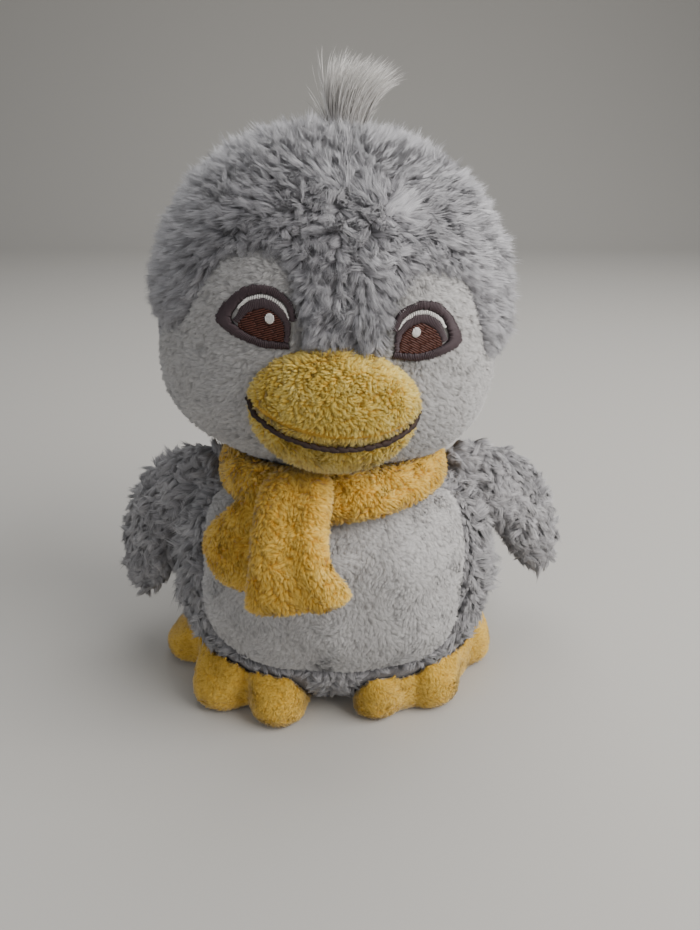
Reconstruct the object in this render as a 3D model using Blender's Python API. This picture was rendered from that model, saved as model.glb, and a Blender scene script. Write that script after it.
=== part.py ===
"""Plush penguin, sitting: stuffed fabric shells sewn together, with a tied scarf.

Metres, +Z up, the face looks towards -Y. The origin is the middle of the flat underside.
Each fabric panel, stuffing core, embroidered patch and scarf end is its own closed solid.
"""
import math

import bmesh
import bpy
from mathutils import Matrix, Vector

MM = 0.001

# Driving dimensions, in millimetres and degrees.
SEAM_GAP = 0.3            # clear gap between two pieces that touch
FABRIC = 2.2              # a panel with its pile pressed flat
FILL_GAP = 1.6            # between a panel and the stuffing behind it

HEAD_CENTRE = (0.0, 0.0, 151.0)
HEAD_HALF = (59.5, 54.0, 57.5)
HEAD_POWER = 2.2          # a little squarer than an ellipsoid
CHEEK_POWER = 2.8         # squarer still below the middle, for full cheeks
CHEEK_SWELL = 0.03        # and a little fuller at the sides, at this elevation
CHEEK_AT = -26.0
CHEEK_SPREAD = 20.0
HEAD_YAW = 4.2
HEAD_ROLL = 6.5
NECK_OPENING = -60.0      # elevation where the head panels end

TORSO_TOP = 92.0
TORSO_POWER = 2.2
BASE_RIM = 26.0           # how far the base panel comes up the sides

SCARF_THICK = 5.5
SCARF_WIDE = 13.5
SCARF_OUT = 5.5           # the band's middle: beyond the neckline, and its height
SCARF_HEIGHT = 88.6
SCARF_SLOPE = 36.0        # it lies on the slope of the shoulders

WING_LENGTH = 77.0
WING_HALF_WIDTH = 14.0
WING_HALF_THICK = 6.5
WING_STAND = 12.5         # from the shoulder joint out to the wing's root

FOOT_HEIGHT = 12.5
SOLE = 2.0

EYE_LIFT = 0.3            # embroidery stands this far off the face
EYE_THREAD = 0.9


def clear_scene():
    for item in list(bpy.data.objects):
        bpy.data.objects.remove(item, do_unlink=True)


def material(name, colour, roughness):
    """A fabric or thread finish: matt, not metallic."""
    made = bpy.data.materials.new(name)
    made.use_nodes = True
    shader = made.node_tree.nodes["Principled BSDF"]
    shader.inputs["Base Color"].default_value = (*colour, 1.0)
    shader.inputs["Roughness"].default_value = roughness
    shader.inputs["Metallic"].default_value = 0.0
    return made


COLOURS = {
    "long_grey": (0.24, 0.24, 0.27),
    "short_grey": (0.46, 0.45, 0.45),
    "beak_yellow": (0.62, 0.46, 0.14),
    "scarf_yellow": (0.72, 0.45, 0.08),
    "foot_yellow": (0.66, 0.42, 0.07),
    "dark_thread": (0.035, 0.018, 0.022),
    "brown_thread": (0.12, 0.03, 0.012),
    "white_thread": (0.72, 0.71, 0.68),
    "mouth_thread": (0.02, 0.008, 0.008),
    "tuft_hair": (0.33, 0.30, 0.28),
    "stuffing": (0.85, 0.85, 0.83),
    "pellets": (0.75, 0.72, 0.66),
}


def new_object(name, mesh_maker, finish, parent=None):
    """Make one closed body from a bmesh, weld it, face it outwards and give it its material."""
    form = bmesh.new()
    mesh_maker(form)
    bmesh.ops.remove_doubles(form, verts=form.verts, dist=0.02 * MM)
    bmesh.ops.dissolve_degenerate(form, edges=form.edges, dist=0.005 * MM)
    bmesh.ops.recalc_face_normals(form, faces=form.faces)
    mesh = bpy.data.meshes.new(name)
    form.to_mesh(mesh)
    form.free()
    mesh.shade_smooth()
    made = bpy.data.objects.new(name, mesh)
    mesh.materials.append(material(name + "_finish", COLOURS[finish], 0.9))
    bpy.context.scene.collection.objects.link(made)
    if parent is not None:
        made.parent = parent
    return made


def empty(name, matrix, parent=None):
    made = bpy.data.objects.new(name, None)
    bpy.context.scene.collection.objects.link(made)
    if parent is not None:
        made.parent = parent
        made.matrix_parent_inverse = parent.matrix_world.inverted()
    made.matrix_world = matrix
    bpy.context.view_layer.update()
    return made


def sheet_solid(outer, inner):
    """A maker for a curved panel: rows of points outside, the same rows inside, walls all round."""
    def make(form):
        rows, cols = len(outer), len(outer[0])
        top = [[form.verts.new(p * MM) for p in row] for row in outer]
        low = [[form.verts.new(p * MM) for p in row] for row in inner]
        for i in range(rows - 1):
            for j in range(cols - 1):
                form.faces.new((top[i][j], top[i][j + 1], top[i + 1][j + 1], top[i + 1][j]))
                form.faces.new((low[i][j], low[i + 1][j], low[i + 1][j + 1], low[i][j + 1]))
        for j in range(cols - 1):
            form.faces.new((top[0][j], low[0][j], low[0][j + 1], top[0][j + 1]))
            form.faces.new((top[-1][j], top[-1][j + 1], low[-1][j + 1], low[-1][j]))
        for i in range(rows - 1):
            form.faces.new((top[i][0], top[i + 1][0], low[i + 1][0], low[i][0]))
            form.faces.new((top[i][-1], low[i][-1], low[i + 1][-1], top[i + 1][-1]))
    return make


def ringed_solid(rings, looped=False):
    """A maker for a solid through rings of points; a ring of one point is a pole."""
    def make(form):
        made = [[form.verts.new(p * MM) for p in ring] for ring in rings]
        pairs = list(zip(made, made[1:]))
        if looped:
            pairs.append((made[-1], made[0]))
        for low, high in pairs:
            count = max(len(low), len(high))
            for j in range(count):
                k = (j + 1) % count
                if len(low) == 1:
                    form.faces.new((low[0], high[k], high[j]))
                elif len(high) == 1:
                    form.faces.new((low[j], low[k], high[0]))
                else:
                    form.faces.new((low[j], low[k], high[k], high[j]))
    return make


def smooth_lookup(table, at):
    """Read a curve through the table's points (Catmull-Rom), flat beyond its ends."""
    if at <= table[0][0]:
        return table[0][1]
    if at >= table[-1][0]:
        return table[-1][1]
    i = next(k for k in range(len(table) - 1) if at <= table[k + 1][0])
    (x0, y0), (x1, y1) = table[i], table[i + 1]
    before = table[i - 1] if i else table[0]
    after = table[i + 2] if i + 2 < len(table) else table[-1]
    slope0 = (y1 - before[1]) / (x1 - before[0])
    slope1 = (after[1] - y0) / (after[0] - x0)
    width = x1 - x0
    t = (at - x0) / width
    return ((2 * t**3 - 3 * t**2 + 1) * y0 + (t**3 - 2 * t**2 + t) * width * slope0
            + (3 * t**2 - 2 * t**3) * y1 + (t**3 - t**2) * width * slope1)


def spread(first, last, count):
    return [first + (last - first) * i / (count - 1) for i in range(count)]


# ---- Head ------------------------------------------------------------------------------------

def upright_power(z):
    return HEAD_POWER if z > 0 else CHEEK_POWER


def head_size(way):
    """The head's radius in a direction (a unit vector)."""
    a, b, c = HEAD_HALF
    power = upright_power(way.z)
    level = abs(way.x / a) ** HEAD_POWER + abs(way.y / b) ** HEAD_POWER
    size = (level ** (power / HEAD_POWER) + abs(way.z / c) ** power) ** (-1 / power)
    from_cheek = (math.degrees(math.asin(way.z)) - CHEEK_AT) / CHEEK_SPREAD
    return size * (1 + CHEEK_SWELL * way.x**2 / (1 - way.z**2 + 1e-9) * math.exp(-from_cheek**2))


def head_point(azimuth, elevation, off=0.0):
    """A point on the head: azimuth from the face towards +X, elevation up, both in degrees."""
    az, el = math.radians(azimuth), math.radians(elevation)
    way = Vector((math.sin(az) * math.cos(el), -math.cos(az) * math.cos(el), math.sin(el)))
    return way * (head_size(way) + off)


def face_point(x, z, off=0.0):
    """The point of the face seen at x, z from straight in front, lifted off it."""
    a, b, c = HEAD_HALF
    power = upright_power(z)
    level = (1 - abs(z / c) ** power) ** (HEAD_POWER / power)
    left = max(0.0, level - abs(x / a) ** HEAD_POWER)
    way = Vector((x, -b * left ** (1 / HEAD_POWER), z)).normalized()
    return way * (head_size(way) + off)


# Where the long-pile hood meets the short-pile face, from the beak round to the nape:
# a widow's peak, an arch over the eye, and a lobe over the temple.
HOOD_SEAM = [(0, -1.5), (11, -0.5), (13.2, 7), (16, 17), (20, 23.5), (27, 27), (35, 26), (43, 21.5),
             (49, 12), (54, 2.5), (60, -2.5), (67, -3.5), (74, -8), (82, -24), (88, -42), (94, -60)]
HOOD_COLUMNS = [0, 11, 13.2, 16, 20, 27, 35, 43, 49, 54, 60, 67, 74, 82, 88, 94]
BACK_COLUMNS = [108, 122, 136, 150, 165, 180]


def hood_seam(azimuth, side_gap):
    """The seam's elevation, moved square to the seam by side_gap (mm) up or down."""
    step = 0.4
    here = smooth_lookup(HOOD_SEAM, azimuth)
    slope = (smooth_lookup(HOOD_SEAM, azimuth + step) - smooth_lookup(HOOD_SEAM, azimuth - step)) / (2 * step)
    return here + math.degrees(side_gap / HEAD_HALF[0]) * math.hypot(1, slope)


def off_middle(point, side):
    """Keep a panel on its own side of the middle seam."""
    return Vector((side * max(abs(point.x), SEAM_GAP / 2), point.y, point.z))


def head_panels(parent):
    for side, word in ((-1, "left"), (1, "right")):
        def rows_for(columns, low, high, steps, off):
            return [[off_middle(head_point(side * az, low(az) + (high(az) - low(az)) * t, off), side)
                     for az in columns] for t in steps]
        crown_cols = HOOD_COLUMNS + BACK_COLUMNS
        steps = [0, 0.1, 0.2, 0.3, 0.4, 0.5, 0.6, 0.7, 0.8, 0.9, 1]
        low = lambda az: max(hood_seam(az, SEAM_GAP / 2), NECK_OPENING)
        top = lambda az: 90.0
        new_object("crown_" + word, sheet_solid(rows_for(crown_cols, low, top, steps, 0),
                                                rows_for(crown_cols, low, top, steps, -FABRIC)),
                   "long_grey", parent)
        neck = lambda az: NECK_OPENING
        high = lambda az: max(hood_seam(az, -SEAM_GAP / 2), NECK_OPENING + 0.02)
        steps = [0, 0.17, 0.34, 0.5, 0.66, 0.83, 1]
        new_object("face_" + word, sheet_solid(rows_for(HOOD_COLUMNS, neck, high, steps, 0),
                                               rows_for(HOOD_COLUMNS, neck, high, steps, -FABRIC)),
                   "short_grey", parent)


def head_filling(parent):
    inset = -FABRIC - FILL_GAP
    rings = [[head_point(0, 90, inset)]]
    for el in spread(72, NECK_OPENING + 3, 9):
        rings.append([head_point(az, el, inset) for az in range(0, 360, 18)])
    rings.append([Vector((0, 0, rings[-1][0].z))])
    new_object("head_filling", ringed_solid(rings), "stuffing", parent)


# ---- Beak, mouth and eyes --------------------------------------------------------------------

BEAK_HALF_WIDTH = 25.5
BEAK_TOP = 1.0
BEAK_BOTTOM = -38.5
BEAK_CORNER = -17.5
MOUTH_LOW = -22.5
BEAK_REACH = 12.0
BEAK_FILL_LIFT = 1.0


def mouth_height(x):
    return MOUTH_LOW + (BEAK_CORNER - MOUTH_LOW) * abs(x / BEAK_HALF_WIDTH) ** 2


def lip_edge(x, low):
    """The beak's outline above or below the mouth at x."""
    end = BEAK_BOTTOM if low else BEAK_TOP
    return BEAK_CORNER + (end - BEAK_CORNER) * max(0.0, 1 - (x / BEAK_HALF_WIDTH) ** 2) ** 0.5


def beak_height(x, z):
    """How far the stuffed beak stands off the face at x, z: most along the mouth."""
    split = mouth_height(x)
    low = z < split
    edge = lip_edge(x, low)
    along = (z - split) / (edge - split) if abs(edge - split) > 1e-6 else 1.0
    across = max(0.0, 1 - (x / BEAK_HALF_WIDTH) ** 2) ** 0.5
    reach = BEAK_REACH * (0.8 if low else 1.0)
    return reach * across * max(0.0, 1 - min(1.0, along) ** 2.2) ** 0.5


def beak_grid(low, inset, off_of):
    """Rows from the mouth to the outline, kept inset from both."""
    columns = [BEAK_HALF_WIDTH * math.sin(math.radians(a)) for a in spread(-84, 84, 15)]
    rows = []
    for t in (0, 0.3, 0.6, 0.82, 0.95, 1):
        row = []
        for x in columns:
            sign = -1 if low else 1
            start = mouth_height(x) + sign * inset
            end = lip_edge(x, low) - sign * 0.15
            z = start + (end - start) * t
            row.append(face_point(x, z, off_of(x, z)))
        rows.append(row)
    return rows


def beak(parent):
    for low, word in ((False, "upper"), (True, "lower")):
        skin = lambda x, z: SEAM_GAP + 0.8 + beak_height(x, z)
        lining = lambda x, z: SEAM_GAP + max(0.0, beak_height(x, z) - FABRIC + 0.8)
        new_object(word + "_beak", sheet_solid(beak_grid(low, 0.9, skin), beak_grid(low, 0.9, lining)),
                   "beak_yellow", parent)

    def filling_row(share):
        row = []
        for a in range(0, 360, 24):
            x = (BEAK_HALF_WIDTH - 4.5) * math.cos(math.radians(a)) * share
            up = math.sin(math.radians(a))
            reach = (BEAK_TOP - 5 - MOUTH_LOW) if up > 0 else (MOUTH_LOW - BEAK_BOTTOM - 4.5)
            row.append((x, mouth_height(x) + up * share * reach))
        return row

    def filling_top(x, z):
        return max(BEAK_FILL_LIFT + 0.5, beak_height(x, z) - FABRIC - FILL_GAP)

    rings = [[face_point(0, MOUTH_LOW, filling_top(0, MOUTH_LOW))]]
    for share in (0.25, 0.5, 0.75, 1):
        rings.append([face_point(x, z, filling_top(x, z)) for x, z in filling_row(share)])
    for share in (1, 0.5):
        rings.append([face_point(x, z, BEAK_FILL_LIFT) for x, z in filling_row(share)])
    rings.append([face_point(0, MOUTH_LOW, BEAK_FILL_LIFT)])
    new_object("beak_filling", ringed_solid(rings), "stuffing", parent)

    thread = []
    for x in spread(-BEAK_HALF_WIDTH * 0.975, BEAK_HALF_WIDTH * 0.975, 17):
        z = mouth_height(x)
        off = beak_height(x, z)
        low_off = SEAM_GAP + max(0.2, off - 1.6)
        high_off = SEAM_GAP + 1.0 + off
        thread.append([face_point(x, z - 0.55, low_off), face_point(x, z - 0.55, high_off),
                       face_point(x, z + 0.55, high_off), face_point(x, z + 0.55, low_off)])
    rings = [[sum(thread[0], Vector()) / 4]] + thread + [[sum(thread[-1], Vector()) / 4]]
    new_object("mouth_stitching", ringed_solid(rings), "mouth_thread", parent)


# The embroidered eye, drawn on the face as seen from in front: distance from the middle, height.
LID_OUTER = [(14.0, 8.0), (16.3, 13.4), (22.9, 16.4), (29.3, 14.6), (34.4, 9.6), (36.8, 4.2),
             (31.4, 0.7), (23.0, -1.0), (15.2, -0.5)]
LID_INNER = [(15.2, 7.6), (17.3, 12.0), (23.0, 14.2), (28.6, 12.4), (31.6, 8.6), (32.8, 5.2),
             (29.0, 2.5), (23.0, 1.0), (15.6, 1.1)]
IRIS = [(15.9, 1.5), (15.7, 6.2), (18.2, 10.4), (23.1, 12.1), (28.4, 10.0), (31.9, 5.3),
        (28.8, 2.9), (23.0, 1.4)]
CATCHLIGHT = (21.3, 7.5)
CATCHLIGHT_RADIUS = 1.5


def smooth_strip(points, parts):
    """Points along a Catmull-Rom curve through the given ones."""
    made = []
    for i in range(len(points) - 1):
        p = [Vector(points[min(max(k, 0), len(points) - 1)]) for k in range(i - 1, i + 3)]
        for j in range(parts):
            t = j / parts
            made.append(0.5 * (2 * p[1] + (p[2] - p[0]) * t + (2 * p[0] - 5 * p[1] + 4 * p[2] - p[3]) * t * t
                               + (3 * p[1] - p[0] - 3 * p[2] + p[3]) * t**3))
    made.append(Vector(points[-1]))
    return made


def patch(name, outline, low, high, finish, parent, side):
    """A thin embroidered patch: a fan inside its outline, from low to high off the face."""
    middle = sum(outline, Vector((0, 0))) / len(outline)
    ring = lambda share, off: [face_point(side * (middle + (p - middle) * share).x,
                                          (middle + (p - middle) * share).y, off) for p in outline]
    centre = lambda off: [face_point(side * middle.x, middle.y, off)]
    rings = [centre(high), ring(0.5, high), ring(1, high), ring(1, low), ring(0.5, low), centre(low)]
    new_object(name, ringed_solid(rings), finish, parent)


def eyes(parent):
    for side, word in ((-1, "left"), (1, "right")):
        outer = smooth_strip(LID_OUTER, 2)
        inner = smooth_strip(LID_INNER, 2)
        at = lambda p, off: face_point(side * p.x, p.y, off)
        top = [[at(p, EYE_LIFT + EYE_THREAD) for p in outer], [at(p, EYE_LIFT + EYE_THREAD) for p in inner]]
        low = [[at(p, EYE_LIFT) for p in outer], [at(p, EYE_LIFT) for p in inner]]
        new_object(f"eye_{word}_outline", sheet_solid(top, low), "dark_thread", parent)

        iris = smooth_strip(IRIS + IRIS[:1], 2)[:-1]
        middle = sum(iris, Vector((0, 0))) / len(iris)
        inset = [middle + (p - middle) * 0.975 for p in iris]
        patch(f"eye_{word}_iris", inset, EYE_LIFT, EYE_LIFT + EYE_THREAD, "brown_thread", parent, side)

        lid = smooth_strip([LID_INNER[0], LID_INNER[1], LID_INNER[2], LID_INNER[3], LID_INNER[4]], 3)
        rim = smooth_strip([IRIS[1], IRIS[2], IRIS[3], IRIS[4]], 5)
        rim = [rim[round(i * (len(rim) - 1) / (len(lid) - 1))] for i in range(len(lid))]
        upper, lower = [], []
        for a, b in zip(lid, rim):
            away = (a - b).normalized() if (a - b).length > 1e-6 else Vector((0, 1))
            upper.append(a - away * SEAM_GAP)
            lower.append(b + away * SEAM_GAP)
        inside = slice(2, -1)
        upper, lower = upper[inside], lower[inside]
        top = [[at(p, EYE_LIFT + 0.6) for p in row] for row in (upper, lower)]
        low = [[at(p, EYE_LIFT) for p in row] for row in (upper, lower)]
        new_object(f"eye_{word}_white", sheet_solid(top, low), "white_thread", parent)

        spot = [Vector((CATCHLIGHT[0] + CATCHLIGHT_RADIUS * 0.85 * math.cos(a),
                        CATCHLIGHT[1] + CATCHLIGHT_RADIUS * math.sin(a)))
                for a in (math.radians(k) for k in range(0, 360, 30))]
        lift = EYE_LIFT + EYE_THREAD + SEAM_GAP
        patch(f"eye_{word}_catchlight", spot, lift, lift + 0.4, "white_thread", parent, side)


TUFT_LENGTH = 26.0
TUFT_RADIUS = 6.5
TUFT_LEAN = 34.0


def hair_tuft(parent):
    """A tapering lock of loose hair sewn into the top of the middle seam."""
    root = head_point(0, 90, SEAM_GAP + 1.2)
    rings = []
    for t in (0, 0.2, 0.45, 0.7, 0.88):
        lean = math.radians(TUFT_LEAN) * t
        centre = root + Vector((TUFT_LENGTH * t * math.sin(lean), 0, TUFT_LENGTH * t * math.cos(lean)))
        size = TUFT_RADIUS * (1 + 0.5 * t) * (1 - t**3) ** 0.5
        flat = Matrix.Rotation(lean, 3, "Y")
        rings.append([centre + flat @ Vector((size * math.cos(a), 0.6 * size * math.sin(a), 0))
                      for a in (math.radians(k) for k in range(0, 360, 36))])
    lean = math.radians(TUFT_LEAN)
    tip = root + Vector((TUFT_LENGTH * math.sin(lean), 0, TUFT_LENGTH * math.cos(lean)))
    new_object("hair_tuft", ringed_solid([[root]] + rings + [[tip]]), "tuft_hair", parent)


# ---- Torso -----------------------------------------------------------------------------------

TORSO_HALF_WIDTH = [(0, 42), (4, 49.5), (9, 54.5), (16, 59), (28, 62), (42, 62.5), (58, 61), (72, 57),
                    (81, 51.5), (86.5, 44), (90.5, 34.5), (92, 28)]
TORSO_FRONT = [(0, 33), (4, 39.5), (9, 44), (16, 48.5), (28, 53.5), (42, 56.5), (58, 56.5), (72, 54),
               (81, 49.5), (86.5, 43.5), (90.5, 36), (92, 28)]
TORSO_BACK = [(0, 35), (4, 41), (9, 45), (16, 48.5), (28, 51.5), (42, 52), (58, 50.5), (72, 47),
              (81, 42), (86.5, 36), (90.5, 29.5), (92, 25)]


def torso_radius(azimuth, height):
    """The torso's outer radius at an azimuth from the belly and a height."""
    az = math.radians(azimuth)
    wide = smooth_lookup(TORSO_HALF_WIDTH, height)
    deep = smooth_lookup(TORSO_FRONT if math.cos(az) > 0 else TORSO_BACK, height)
    return (abs(math.sin(az) / wide) ** TORSO_POWER
            + abs(math.cos(az) / deep) ** TORSO_POWER) ** (-1 / TORSO_POWER)


def torso_point(azimuth, height, off=0.0):
    az = math.radians(azimuth)
    radius = torso_radius(azimuth, height) + off
    return Vector((radius * math.sin(az), -radius * math.cos(az), height))


BELLY_MIDDLE = 66.5
BELLY_HALF_HEIGHT = 40.7
BELLY_HALF_WIDTH = 50.0
BELLY_POWER = 2.3


def belly_edge(height):
    """The azimuth of the seam between the belly panel and the back panels."""
    share = min(1.0, abs((height - BELLY_MIDDLE) / BELLY_HALF_HEIGHT))
    x = BELLY_HALF_WIDTH * (1 - share**BELLY_POWER) ** (1 / BELLY_POWER)
    wide = smooth_lookup(TORSO_HALF_WIDTH, height)
    deep = smooth_lookup(TORSO_FRONT, height)
    x = min(x, 0.95 * wide)
    y = deep * (1 - (x / wide) ** TORSO_POWER) ** (1 / TORSO_POWER)
    return math.degrees(math.atan2(x, y))


def seam_shift(height, gap):
    """Azimuth that leaves half the gap beside the belly seam, measured square to it."""
    step = 0.5
    rise = (belly_edge(min(height + step, TORSO_TOP)) - belly_edge(max(height - step, BASE_RIM))) / (2 * step)
    radius = torso_radius(belly_edge(height), height)
    return math.degrees(gap / 2 / radius) * math.hypot(1, math.radians(rise) * radius)


def torso_panels(parent):
    heights = [BASE_RIM + SEAM_GAP, 28, 31.5, 37, 44, 52, 60, 69, 77, 83, 88, 90.8, TORSO_TOP]

    def inside(height):
        return min(max(height, BASE_RIM + SEAM_GAP), TORSO_TOP)

    def belly_rows(off):
        return [[torso_point((belly_edge(inside(z)) - seam_shift(inside(z), SEAM_GAP)) * t, z, off)
                 for t in spread(-1, 1, 13)] for z in heights]
    new_object("belly_panel", sheet_solid(belly_rows(0), belly_rows(-FABRIC)), "short_grey", parent)

    for side, word in ((-1, "left"), (1, "right")):
        def back_rows(off):
            rows = []
            for z in heights:
                start = belly_edge(inside(z)) + seam_shift(inside(z), SEAM_GAP)
                row = [torso_point(side * (start + (180 - start) * t), z, off) for t in spread(0, 1, 12)]
                rows.append([off_middle(p, side) for p in row])
            return rows
        new_object("back_" + word, sheet_solid(back_rows(0), back_rows(-FABRIC)), "long_grey", parent)


def torso_ring(height, off=0.0, share=1.0, count=28):
    ring = []
    for k in range(count):
        p = torso_point(360 * k / count, height, off)
        ring.append(Vector((p.x * share, p.y * share, p.z)))
    return ring


def base_panel(parent):
    """The grey underside: a flat oval with its edge turned up to the belly and back seams."""
    rings = [[Vector((0, 0, 0))], torso_ring(0, share=0.5), torso_ring(0), torso_ring(3), torso_ring(10),
             torso_ring(18), torso_ring(BASE_RIM), torso_ring(BASE_RIM, -FABRIC), torso_ring(18, -FABRIC),
             torso_ring(10, -FABRIC), torso_ring(4.5, -FABRIC)]
    low = FABRIC
    for share in (0.93, 0.5):
        rings.append([Vector((p.x, p.y, low)) for p in torso_ring(0, share=share)])
    rings.append([Vector((0, 0, low))])
    new_object("base_panel", ringed_solid(rings), "long_grey", parent)


PELLET_TOP = 24.0


def torso_insides(parent):
    inset = -FABRIC - FILL_GAP
    floor = FABRIC + SEAM_GAP
    rings = [[Vector((0, 0, floor))]]
    rings.append([Vector((p.x, p.y, floor)) for p in torso_ring(0, inset, 0.9, 20)])
    for z in (6, 12, PELLET_TOP):
        rings.append(torso_ring(z, inset - 1.0, count=20))
    rings.append([Vector((0, 0, PELLET_TOP))])
    new_object("pellet_bag", ringed_solid(rings), "pellets", parent)

    floor = PELLET_TOP + SEAM_GAP
    rings = [[Vector((0, 0, floor))]]
    for z in (floor, 40, 56, 70, 80, 86, 89):
        rings.append(torso_ring(z, inset, count=20))
    rings.append([Vector((0, 0, 89))])
    new_object("body_filling", ringed_solid(rings), "stuffing", parent)


NECK_PIVOT = 118.0


def circle(radius, height, count=20):
    return [Vector((radius * math.cos(a), radius * math.sin(a), height))
            for a in (2 * math.pi * k / count for k in range(count))]


def neck(turn, tilt):
    """The stuffing plug the head rocks on, and the ring of closing stitches round it."""
    rings = [[Vector((0, 0, 92.7))], circle(8, 94), circle(20, 96.4), circle(20, 97.4), circle(8, 100.4),
             [Vector((0, 0, 101))]]
    new_object("neck_filling", ringed_solid(rings), "stuffing", tilt)
    rings = [circle(22, 92.3), circle(22, 93.1), circle(20.8, 93.1), circle(20.8, 92.3)]
    new_object("neck_thread", ringed_solid(rings, looped=True), "dark_thread", turn)


# ---- Wings -----------------------------------------------------------------------------------

def wing_outline(side, count=18):
    """A leaf: along its length from the root, and across. The root is blunt, the tip rounded."""
    ring = []
    for k in range(count):
        a = 2 * math.pi * k / count
        along = 0.5 - 0.5 * math.cos(a)
        width = WING_HALF_WIDTH * (0.9 + 0.2 * math.sin(math.pi * along)) * (1 - (2 * along - 1) ** 4) ** 0.5
        bow = side * 5.0 * math.sin(math.pi * along)
        ring.append(Vector((WING_LENGTH * along, width * math.copysign(1, math.sin(a)) * (abs(math.sin(a)) > 1e-6)
                            + bow, 0)))
    return ring


def wing_middle(outline):
    return sum(outline, Vector()) / len(outline)


def wing_rings(outline, half, shares):
    """Domed rings over the outline, half thick in the middle."""
    middle = wing_middle(outline)
    rings = []
    for share in shares:
        height = half * max(0.0, 1 - share**2.4) ** 0.5
        ring = [middle + (p - middle) * share + Vector((0, 0, height)) for p in outline]
        rings.append(ring if share else [middle + Vector((0, 0, half))])
    return rings


def wing(word, side, frame):
    outline = wing_outline(side)
    middle = wing_middle(outline)
    shares = (0, 0.45, 0.8, 0.95, 1)
    edge = Vector((0, 0, SEAM_GAP / 2))
    for flip, name in ((1, "outer"), (-1, "inner")):
        skin = wing_rings(outline, WING_HALF_THICK, shares)
        trimmed = [middle + (p - middle) * 0.9 for p in outline]
        lining = wing_rings(trimmed, WING_HALF_THICK - FABRIC, shares)
        rings = skin + lining[::-1]
        rings = [[Vector((p.x, p.y, (p.z + edge.z) * flip)) for p in ring] for ring in rings]
        new_object(f"wing_{word}_{name}", ringed_solid(rings), "long_grey", frame)
    trimmed = [middle + (p - middle) * 0.8 for p in outline]
    upper = wing_rings(trimmed, WING_HALF_THICK - FABRIC - FILL_GAP, shares)
    lower = [[Vector((p.x, p.y, -p.z)) for p in ring] for ring in upper]
    new_object(f"wing_{word}_filling", ringed_solid(upper[:-1] + lower[::-1]), "stuffing", frame)


SHOULDER = (48.0, 0.0, 88.0)
WINGS = {"left": (-1, 23.0, 2.0, 50.0), "right": (1, 33.0, 12.0, 46.0)}   # side, out, back, twist


def wing_frame(side, out, back, twist):
    """The wing lies along its local X, with its outer face to local Z."""
    along = Vector((side * math.sin(math.radians(out)), math.sin(math.radians(back)),
                    -math.cos(math.radians(out)))).normalized()
    outward = Vector((side, 0, 0))
    face = (outward - along * outward.dot(along)).normalized()
    face = Matrix.Rotation(math.radians(side * twist), 3, Vector((0, 0, -1))) @ face
    face = (face - along * face.dot(along)).normalized()
    across = face.cross(along)
    turn = Matrix((along, across, face)).transposed().to_4x4()
    root = Vector((side * SHOULDER[0], SHOULDER[1], SHOULDER[2])) - along * 9.0 + Vector((side * WING_STAND, 0, 0))
    return Matrix.Translation(root * MM) @ turn


# ---- Feet ------------------------------------------------------------------------------------

FEET = {"left": (-1, 0.0, 0.0), "right": (1, -3.0, -6.0)}   # side, turned towards the outside, reach
FOOT_FROM = 13.0          # azimuths between which a foot is sewn to the base seam
FOOT_TO = 94.0
TOES = [(25.0, 51.0, 11.3), (51.0, 58.0, 12.3), (82.0, 64.0, 10.8)]      # azimuth, distance, radius
WEB = 3.5                 # the least that the foot stands out between two toes
FOOT_GAP = 0.8
FOOT_HINGE = (42.0, -34.0, 13.0)


def foot_edge(azimuth, more):
    """How far the three-toed outline lies from the torso's axis."""
    reach = torso_radius(azimuth, FOOT_HEIGHT) + FOOT_GAP
    ends = min(azimuth - FOOT_FROM, FOOT_TO - azimuth)
    reach += WEB * min(1.0, max(0.0, ends / 6)) + 0.6
    for toward, distance, radius in TOES:
        off = math.radians(azimuth - toward)
        aside = (distance + more) * math.sin(off)
        if abs(aside) < radius:
            reach = max(reach, (distance + more) * math.cos(off) + math.sqrt(radius**2 - aside**2))
    return reach


def foot_section(azimuth, more, base, inset):
    """The foot cut by an upright plane: up the toe side, over the top, down beside the torso."""
    outer = foot_edge(azimuth, more)
    wall = [torso_radius(azimuth, z) + FOOT_GAP for z in (FOOT_HEIGHT, FOOT_HEIGHT * 0.55, base)]
    middle = (outer + wall[2]) / 2
    section = []
    for a in (0, 22, 42, 62, 80):
        c, q = math.cos(math.radians(a)), math.sin(math.radians(a))
        section.append((wall[0] + (outer - wall[0]) * c**0.55, base + (FOOT_HEIGHT - base) * q**0.75))
    section += [(wall[0], FOOT_HEIGHT), (wall[1], FOOT_HEIGHT * 0.55), (wall[2], base)]
    half = (outer - wall[2]) / 2
    share = max(0.2, 1 - inset / half)
    rise = max(0.2, 1 - inset / (FOOT_HEIGHT - base))
    return [(middle + (r - middle) * share, base + (z - base) * rise) for r, z in section]


def polar(azimuth, reach, height):
    az = math.radians(azimuth)
    return Vector((reach * math.sin(az), -reach * math.cos(az), height))


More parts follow.
